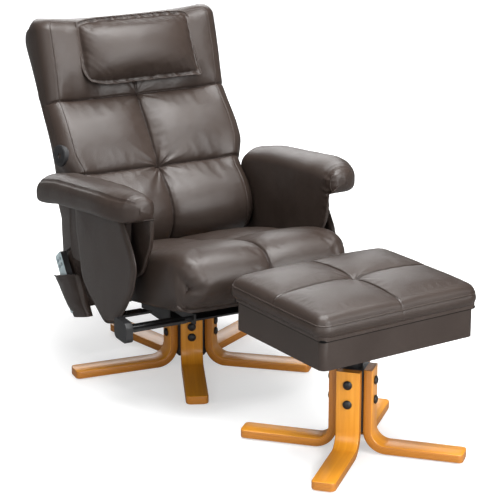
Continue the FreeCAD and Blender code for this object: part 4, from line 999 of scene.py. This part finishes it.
def armLimits(y):
    # plan of the pad: nearly straight inside, swept round from the outer side to the nose
    style = armStyle
    nose = np.clip((style["front"] + style["noseLong"] + 2 - y) / style["noseLong"], 0, 0.998)
    tip = np.clip((style["front"] + style["tipLong"] - y) / style["tipLong"], 0, 1)
    tail = np.clip((y - style["rear"] + style["tailLong"]) / style["tailLong"], 0, 1)
    inner = style["inner"] - style["toeIn"] * ramp(-y, *style["toeFrom"])
    inner += style["tipWide"] * bulgeOff(tip) + style["tailInner"] * bulgeOff(tail)
    return inner, style["outer"] - style["noseWide"] * bulgeOff(nose) - style["tailOuter"] * bulgeOff(tail)


def squareOff(wave):
    # a sine or cosine drawn towards the corners of its square
    return np.sign(wave) * np.abs(wave) ** (2 / 3.3)


def armLoop(y):
    # one cross-section: over the pad, back under it and down round the sheet that hangs on its inner side
    style = armStyle
    inner, outer = armLimits(y)
    middle, half = (inner + outer) / 2, (outer - inner) / 2
    tall = style["depth"] * np.interp(y, *np.array(style["height"]).T)
    low = armBase(y) + (style["depth"] - tall) * 0.4 * float(y < 0)
    dome = style["dome"] * min(1.0, half / 50)
    body = (tall - dome) / 2
    hang = np.interp(y, *np.array(style["hang"]).T)
    share = float(ease(hang / 60))  # 0 where nothing hangs
    turn = np.linspace(np.pi, -np.pi / 2, style["cols"])
    across = squareOff(np.cos(turn))
    x = middle + across * half
    z = low + body * (1 + squareOff(np.sin(turn))) + dome * (1 - across ** 2) * np.clip(np.sin(turn), 0, 1) ** 0.5
    thick = style["sheet"] * share + 0.5
    hem = style["hem"] * share
    foot = low - hang
    under = [(x[-1] + (inner + thick - x[-1]) * t, low) for t in np.linspace(0, 1, 7)[1:]]
    outside = [(inner + thick, low - (hang - hem) * t) for t in np.linspace(0, 1, 16)[1:]]
    bottom = [(inner + thick * 0.75, foot + share), (inner + thick / 2, foot), (inner + thick * 0.25, foot + share)]
    inside = [(inner, foot + hem + (hang - hem) * t) for t in np.linspace(0, 1, 22)[:-1]]
    sweep = np.linspace(1.5 * np.pi, np.pi, 14)[:-1]
    flankX = inner * share + (middle + squareOff(np.cos(sweep)) * half) * (1 - share)
    flankZ = low + body * (1 + squareOff(np.sin(sweep)))
    return np.array(list(zip(x, z)) + under + outside + bottom + inside + list(zip(flankX, flankZ)))


def makeArm(side, name):
    style = armStyle
    steps = np.linspace(0, 1, style["rows"])
    shares = (1 - np.cos(steps * np.pi)) / 2 * 0.75 + steps * 0.25  # rows crowd at both ends
    y = style["front"] + shares[:, None] * (style["rear"] - style["front"])
    loops = np.array([armLoop(v) for v in y[:, 0]])
    rows, cols = loops.shape[:2]
    sections = np.stack(np.broadcast_arrays(side * loops[..., 0], y, loops[..., 1]), -1)
    obj = tubeShell("armCover" + name, toMetres(sections), brownHide)
    normals = np.empty(len(obj.data.vertices) * 3)
    obj.data.vertex_normals.foreach_get("vector", normals)
    normals = normals.reshape(-1, 3)[:rows * cols].reshape(sections.shape)
    seam = int(style["cols"] * style["seamShare"])  # where the top meets the outer band
    seamGap = np.abs(np.arange(cols)[None, :] - seam)
    fromFront = y - style["front"]
    ends = np.minimum(fromFront, style["rear"] - y)
    lift = (0.4 * bell(seamGap - 2.2, 1.2) - bell(seamGap, 0.9)) * ramp(ends, 0, 26)
    crumple = noiseAt(sections * np.array([0.6, 1.3, 0.6]), 20, 31)
    lift += 2.4 * crumple * fade(fromFront, 75) * bell(seamGap, 9)
    cornerGap = np.hypot(y - style["cornerAt"], (loops[..., 0] - style["inner"] + style["toeIn"]) * 0.9)
    lift += 3.6 * noiseOver(loops[..., 1], y * 0.25, 0, 11, 32) * bell(cornerGap, 27)
    lift -= 1.4 * bell(cornerGap, 8) * (loops[..., 1] > armBase(y) - 40)
    lift += 1.5 * noiseAt(sections, 64, 33) * ramp(ends, 0, 20)
    moved = sections + normals * lift[..., None]
    spots = np.vstack([moved.reshape(-1, 3), moved[[0, -1]].mean(1)])
    obj.data.vertices.foreach_set("co", toMetres(spots).ravel())
    obj.data.update()
    finishSoft(obj, "seat", 0.7, "arm_pad_" + name.lower(), "arm_inner_panel_" + name.lower())
    stitchPiece("armStitches" + name, [seamLine(obj, cols, alongColumn(seam - 2, 8, rows - 10))], "seat")
    ring = int(np.searchsorted(y[:, 0], style["front"] + style["pipingBack"]))
    front = seamLine(obj, cols, [(ring, j % cols) for j in range(cols - 14, cols + 14)], 0.0002)
    pipingPiece("armPiping" + name, [front], style["piping"], "seat")


# outer leaf-shaped panels that hang below the pads: corners as (y, drop below the pad, radius)

shieldStyle = {
    "across": 301.6, "thickness": 13, "swell": 5.0, "rimRound": 6.0, "rings": 16, "count": 176, "piping": 0.0024,
    "corners": [(100, 0, 9), (-213, 0, 17), (-284, 95, 60), (-297, 129, 50), (-275, 195, 80), (-228, 251, 100),
                (-165, 308, 60), (-90, 321, 50), (1, 265, 60), (60, 219, 60), (97, 60, 40)],
}


def roundedOutline(corners, radii, count):
    pts = np.array(corners, float)
    path = []
    for a, b, c, radius in zip(np.roll(pts, 1, 0), pts, np.roll(pts, -1, 0), radii):
        toA, toC = np.linalg.norm(a - b), np.linalg.norm(c - b)
        back, ahead = (a - b) / toA, (c - b) / toC
        cut = min(radius / math.tan(math.acos(np.clip(back @ ahead, -1, 1)) / 2), 0.48 * toA, 0.48 * toC)
        for t in np.linspace(0, 1, 9):
            path.append((1 - t) ** 2 * (b + back * cut) + 2 * t * (1 - t) * b + t * t * (b + ahead * cut))
    path = np.array(path + path[:1])
    run = runOf(path)
    return placesAt(np.linspace(0, run[-1], count, endpoint=False), run, path)


def makeShield(side, name):
    style = shieldStyle
    corners = [(y, armBase(y) - 0.4 - drop) for y, drop, radius in style["corners"]]
    outline = roundedOutline(corners, [corner[2] for corner in style["corners"]], style["count"])

    def place(sections):
        spots = (sections + np.array([style["across"], 0, 0])) * np.array([side, 1, 1])
        spots[..., 0] += side * noiseAt(spots, 70, 41)
        return toMetres(spots)

    obj = leafShell("armShield" + name, outline, style, brownHide, place)
    finishSoft(obj, "seat", 0.6, "arm_outer_panel_" + name.lower())
    rim = place(np.column_stack([np.full(len(outline), 0.8), outline]))
    pipingPiece("shieldPiping" + name, [(rim, True)], style["piping"], "seat")


for side, name in ((-1, "Left"), (1, "Right")):
    makeArm(side, name)
    makeShield(side, name)
print("arms built")


# footstool cushion, and under its lid a near-black strip of painted shade for the gap below the cushion, in the
# footstool's own axes

stoolStyle = {"yaw": 5.6, "halfLength": 242, "halfWidth": 201, "shift": 6, "low": 395, "edge": 447, "top": 465,
              "puff": 8, "corner": 30, "edgeRound": 22, "groove": 4.2, "grooveWide": 2.6, "dimple": ((8, 17), (4, 45)),
              "puckers": (1.3, 24, 20), "fan": {"spread": 3.4, "far": 300, "fade": 60, "start": 16}, "folds": 5.5,
              "piping": 0.0019, "band": (10, 0.008), "rows": 120, "cols": 150,
              "stuffing": {"pressure": 0.9, "slack": 0.005, "frames": 10, "cap": 0.006, "share": 0.5}}
shadowGapStyle = {"halfLength": 233.6, "halfWidth": 188.6, "height": 390.6, "corner": 8, "radius": 0.0041}


def stoolToSet(points):
    turn = math.radians(stoolStyle["yaw"])
    c, s = math.cos(turn), math.sin(turn)
    x, y, z = np.moveaxis(np.asarray(points) / 1000, -1, 0)
    return np.stack([stoolX + x * c - y * s, stoolY + x * s + y * c, z], -1)


def squareToRound(x, y, style):
    # squeezes a grid's corners to a rounded outline
    corner = style["corner"]
    overX = np.clip(np.abs(x) - (style["halfLength"] - corner), 0, corner)
    overY = np.clip(np.abs(y) - (style["halfWidth"] - corner), 0, corner)
    cut = 1 - np.maximum(overX, overY) / np.maximum(np.hypot(overX, overY), 1e-6)
    return x - np.sign(x) * overX * cut, y - np.sign(y) * overY * cut


def makeStoolCushion():
    style = stoolStyle
    rows, cols, long, wide = style["rows"], style["cols"], style["halfLength"], style["halfWidth"]
    a, b = np.meshgrid(*[gather(-1, 1, count, (-1, 0, 1), 0.05) for count in (cols, rows)])
    x, y = squareToRound(a * long, b * wide, style)
    sideA, sideB = np.abs(a), np.abs(b)
    fromEdge = np.minimum((1 - sideA) * long, (1 - sideB) * wide)
    inside = 1 - np.maximum(sideA, sideB) ** 5
    rise = style["edge"] + (style["top"] - style["edge"]) * ((1 - sideA ** 3.4) * (1 - sideB ** 3.4)) ** 0.8
    rise += style["puff"] * (puffOf(acrossPanels(a, 0.4), acrossPanels(b, 0.4), 2.2, 0.7) - 0.5) * inside
    reach = np.hypot(x, y)
    rise -= roundDrop(fromEdge, style["edgeRound"]) * 0.85 + groove(reach, style["dimple"])
    rise -= style["groove"] * (bell(x, style["grooveWide"]) + bell(y, style["grooveWide"])) * (0.35 + 0.65 * inside)
    rise += style["folds"] * fanFolds(x, y, reach, style["fan"], 51)
    rise += puckers(x, y, style["puckers"], 52) + puckers(y, x, style["puckers"], 53)
    rise += 1.2 * noiseOver(x, y, 0, 80, 54)
    face = np.stack([x, y + style["shift"], rise], -1)
    base = np.stack([x * 0.97, y * 0.97 + style["shift"], np.full_like(x, style["low"])], -1)
    held = [bell(x, 8), bell(y, 8), ramp(-fromEdge, -20, 14)]
    obj = makeCushion("stoolCushion", stoolToSet(face), stoolToSet(base), held, style,
                      "stool_top", 0.75, "stool_cushion")
    lines = []
    for off in (-2, 2):
        lines.append(seamLine(obj, cols, alongColumn(cols // 2 + off, 3, rows - 3)))
        lines.append(seamLine(obj, cols, alongRow(rows // 2 + off, 3, cols - 3)))
    stitchPiece("stoolStitches", lines, "stool_top")
    rim = seamLine(obj, cols, rimPlaces(rows, cols), 0.0002, True)
    pipingPiece("stoolPiping", [rim], style["piping"], "stool_top")


# a near-black tube round the box top under the cushion's edge: painted shade standing in for the shadow gap
def makeShadowGapStrip():
    style = shadowGapStyle
    turn = np.linspace(0, 2 * np.pi, 48, endpoint=False)
    x, y = [np.sign(wave) * (style[label] - style["corner"]) + style["corner"] * wave
            for wave, label in ((np.cos(turn), "halfLength"), (np.sin(turn), "halfWidth"))]
    ring = stoolToSet(np.stack([x, y, np.full_like(turn, style["height"])], -1))
    pipingPiece("shadowGapStrip", [(ring, True)], style["radius"], "stool_seat", shadowGapBlack, "black_plastic")


makeStoolCushion()
makeShadowGapStrip()
print("footstool cushion built")


# remote pouch on the backrest's side

pouchStyle = {"x": -281.3, "y": 130, "z": 138, "lean": 47, "tilt": 17, "low": 98, "high": 158, "tall": 141, "depth": 34,
              "wall": 2.2, "hem": 0.0022, "rows": 34, "cols": 40}


def makePouch():
    # one leather sheet with thickness: outside, rolled hem, inside; sewn down along its sides and foot
    style = pouchStyle
    rows, cols, depth = style["rows"], style["cols"], style["depth"]
    u, v = np.meshgrid(np.linspace(-1, 1, cols), np.linspace(0, 1, rows))
    across = u * (style["low"] + (style["high"] - style["low"]) * v) / 2
    up = style["tall"] * v + 3 * noiseLine(across, 40, 61) * ramp(v, 0.8, 0.2)
    bulge = depth / 2 * (1 - 0.85 * np.abs(u) ** 3) * (0.35 + 0.65 * ramp(v, 0, 0.35))
    bulge += 1.5 * noiseOver(across, up, 7, 34, 62)
    lean, tilt = math.radians(style["lean"]), math.radians(style["tilt"])

    def place(offset, inset=0.0):
        a = across * (1 - inset)
        y = style["y"] + up * math.sin(lean) + a * math.cos(tilt)
        z = style["z"] + up * math.cos(lean) - a * math.sin(tilt)
        return toMetres(np.stack(np.broadcast_arrays(style["x"] + offset, y, z), -1)).reshape(-1, 3)

    verts = np.vstack([place(-bulge), place(style["wall"] - bulge, 0.02), place(depth / 2 - 0.4)])
    n = rows * cols
    top = n - cols
    faces = gridFaces(rows, cols) + gridFaces(rows, cols, n, True) + gridFaces(rows, cols, 2 * n)
    for j in range(cols - 1):
        faces.append((top + j, top + j + 1, n + top + j + 1, n + top + j))
        faces.append((j, j + 1, 2 * n + j + 1, 2 * n + j))
    for i in range(rows - 1):
        for a in (i * cols, i * cols + cols - 1):
            faces.append((a, a + cols, 2 * n + a + cols, 2 * n + a))
    obj = meshObject("remotePouch", verts, faces, brownHide)
    finishSoft(obj, "back", 0.3, "remote_pouch")
    seams = [alongRow(rows - 4, 1, cols - 1)] + [alongColumn(j, 1, rows - 3) for j in (2, cols - 3)]
    stitchPiece("pouchStitches", [seamLine(obj, cols, seam) for seam in seams], "back")
    pipingPiece("pouchHem", [seamLine(obj, cols, alongRow(rows - 1, cols), 0.0)], style["hem"], "back")


makePouch()
print("pouch built")


# frame under the seat and the socket in the backrest's side

boardStyle = {"half": 215, "front": -340, "rear": 62, "rail": 50, "thick": 13, "batten": 122, "battenHalf": 11,
              "battenSpan": (-118, 40), "battenDeep": 30, "under": (88, 219), "slope": 0.1897, "gap": 0.6}
boxQuads = ((0, 1, 2, 3), (7, 6, 5, 4), (0, 4, 5, 1), (1, 5, 6, 2), (2, 6, 7, 3), (3, 7, 4, 0))


def makeSeatBoard():
    style = boardStyle
    half, rail, thick = style["half"], style["rail"], style["thick"]
    inner = style["front"] + rail, style["rear"] - rail
    boxes = [(-half, half, style["front"], inner[0], thick), (-half, half, inner[1], style["rear"], thick)]
    for side in (-1, 1):
        boxes.append((*sorted((side * half, side * (half - rail))), *inner, thick))
        at = side * style["batten"]
        boxes.append((at - style["battenHalf"], at + style["battenHalf"], *style["battenSpan"], style["battenDeep"]))
    verts, faces = [], []
    startY, startZ = style["under"]
    for x0, x1, y0, y1, deep in boxes:
        faces += [tuple(len(verts) + k for k in quad) for quad in boxQuads]
        for drop in (style["gap"], deep):
            verts += [(x, y, startZ - style["slope"] * (y - startY) - drop)
                      for x, y in ((x0, y0), (x1, y0), (x1, y1), (x0, y1))]
    obj = meshObject("seatBoard", toMetres(verts), faces, brownHide, smooth=False)
    finishPiece(obj, "seat", "leather", "seat_frame")


socketStyle = {"spot": (240, 585),
               "profile": [(7, -2), (8, 1.5), (20, 1.8), (23, 4), (28, 3.6), (30.5, 1.5), (31, -12)]}


def makeSocket(cover):
    # sits where the cover's side comes nearest to the spot
    want = toMetres([0, *socketStyle["spot"]])
    side = [v for v in cover.data.vertices if v.co.x < -0.2 and v.normal.x < -0.5]
    seat = min(side, key=lambda v: math.hypot(v.co.y - want[1], v.co.z - want[2]))
    aim = np.array(seat.normal)
    across = np.cross(aim, (0, 0, 1))
    across /= np.linalg.norm(across)
    up = np.cross(across, aim)
    turns = np.linspace(0, 2 * np.pi, 40, endpoint=False)
    rings = np.array([[np.array(seat.co) + (aim * rise + radius * (across * math.cos(t) + up * math.sin(t))) / 1000
                       for t in turns] for radius, rise in socketStyle["profile"]])
    obj = tubeShell("socketRosette", rings, blackMoulding)
    obj.data.set_sharp_from_angle(angle=math.radians(40))
    finishPiece(obj, "back", "black_plastic", "socket_plate")


makeSeatBoard()
makeSocket(backCover)
print("seat board and socket built")


# CAD nodes that stay: better finishes and softer edges

finishes = {
    "black_steel": blackCoat, "bright_steel": brightSteel, "black_plastic": blackMoulding, "grey_plastic": greyMoulding,
    "plywood": rawPly, "webbing": blackWebbing, "wood": honeyVeneer, "leather": brownHide,
}
softEdges = {"lever_grip": 0.006, "lever_bar": 0.0018, "remote_case": 0.003, "stool_box": 0.003, "control_box": 0.003,
             "mechanism_deck": 0.0012, "base_top_plate": 0.001, "stool_post": 0.002}


def dress(name, *mats):
    nodes[name].data.materials.clear()
    for mat in mats:
        nodes[name].data.materials.append(mat)


def softenEdges(name, radius):
    weld = nodes[name].modifiers.new("weld", "WELD")
    weld.merge_threshold = 0.00002
    bevel = nodes[name].modifiers.new("softEdge", "BEVEL")
    bevel.width = radius
    bevel.segments = 3
    bevel.limit_method = "ANGLE"
    bevel.angle_limit = math.radians(35)
    bevel.harden_normals = True


for part in frame["record"]["subparts"]:
    dress(part["node"], finishes[part["material_slot"]])
dress("back_board", brownHide)
dress("remote_case", blackMoulding, paleFace)
for face in nodes["remote_case"].data.polygons:
    if face.normal.x < -0.9:
        face.material_index = 1
for name, radius in softEdges.items():
    softenEdges(name, radius)
print("CAD nodes finished")


# stage, light and camera

stageStyle = {"half": 30, "tone": (0.56, 0.56, 0.56, 1), "mirrored": (0.16, 0.16, 0.16, 1), "world": 0.17}
lamps = {  # size, power, place, target
    "keyLamp": ((2.8, 1.6), 200, (1.0, -4.2, 2.6), (0, 0.1, 0.5)),
    "topLamp": ((2.4, 2.2), 212, (0.1, -0.3, 3.3), (0, 0, 0.4)),
    "sideLamp": ((3.0, 2.4), 60, (-3.2, -2.2, 2.0), (0, 0, 0.4)),
    "backLamp": ((4.0, 2.6), 95, (1.3, 4.5, 2.4), (0, 0.2, 0.5)),
    "lowLamp": ((3.0, 0.8), 42, (0.2, -4.2, 0.6), (0, 0, 0.35)),
}
cameraStyle = {"lens": 144, "sensor": 36, "place": (-2.3755, -4.8294, 2.0075), "tilt": 0.302, "turn": -28}


def makeStage():
    half = stageStyle["half"]
    mesh = bpy.data.meshes.new("floorSheet")
    mesh.from_pydata([(-half, -half, 0), (half, -half, 0), (half, half, 0), (-half, half, 0)], [], [(0, 1, 2, 3)])
    floor = newObject("floorSheet", mesh)
    mat, tree, skin = newMaterial("paleFloor")
    ray = addNode(tree, "ShaderNodeLightPath")
    tone = mixColour(tree, ray["Is Glossy Ray"], stageStyle["tone"], stageStyle["mirrored"])
    seen = mathNode(tree, "MAXIMUM", ray["Is Camera Ray"], timesNode(tree, ray["Is Glossy Ray"], 0.1))
    seen = mathNode(tree, "MAXIMUM", seen, ray["Is Transmission Ray"])
    away = addNode(tree, "ShaderNodeVectorMath", {0: spotNode(tree)}, operation="LENGTH")["Value"]
    glow = rangeNode(tree, away, 0.5, 1.8, 0.5, 1.0)  # white far off, room for the shadow near by
    feed(tree, skin, {"Base Color": tone, "Roughness": 0.8, "Specular IOR Level": 0.1, "Emission Color": (1, 1, 1, 1),
                      "Emission Strength": timesNode(tree, seen, glow)})
    mesh.materials.append(mat)


def makeWorld():
    world = bpy.data.worlds.new("studio")
    bpy.context.scene.world = world
    world.use_nodes = True
    tree = world.node_tree
    ray = addNode(tree, "ShaderNodeLightPath")
    seen = mathNode(tree, "MAXIMUM", ray["Is Camera Ray"], ray["Is Transmission Ray"])
    feed(tree, tree.nodes["Background"], {"Color": (1, 1, 1, 1),
                                          "Strength": rangeNode(tree, seen, 0.0, 1.0, stageStyle["world"], 1.0)})


def makeLamp(name, size, power, place, target):
    data = bpy.data.lights.new(name, "AREA")
    data.shape = "RECTANGLE"
    data.size, data.size_y = size
    data.energy = power
    lamp = newObject(name, data)
    lamp.location = place
    lamp.visible_camera = False
    lamp.rotation_euler = (Vector(target) - Vector(place)).to_track_quat("-Z", "Y").to_euler()


def makeCamera():
    data = bpy.data.cameras.new("photoCamera")
    data.lens = cameraStyle["lens"]
    data.sensor_width = cameraStyle["sensor"]
    data.clip_end = 100
    cam = newObject("photoCamera", data)
    cam.location = Vector(cameraStyle["place"]) + Vector((0, chairY, 0))
    cam.rotation_euler = (math.radians(90) - cameraStyle["tilt"], 0, math.radians(cameraStyle["turn"]))
    bpy.context.scene.camera = cam


makeStage()
makeWorld()
for name, values in lamps.items():
    makeLamp(name, *values)
makeCamera()
bpy.context.scene.view_settings.view_transform = "Standard"
print("stage, light and camera set")
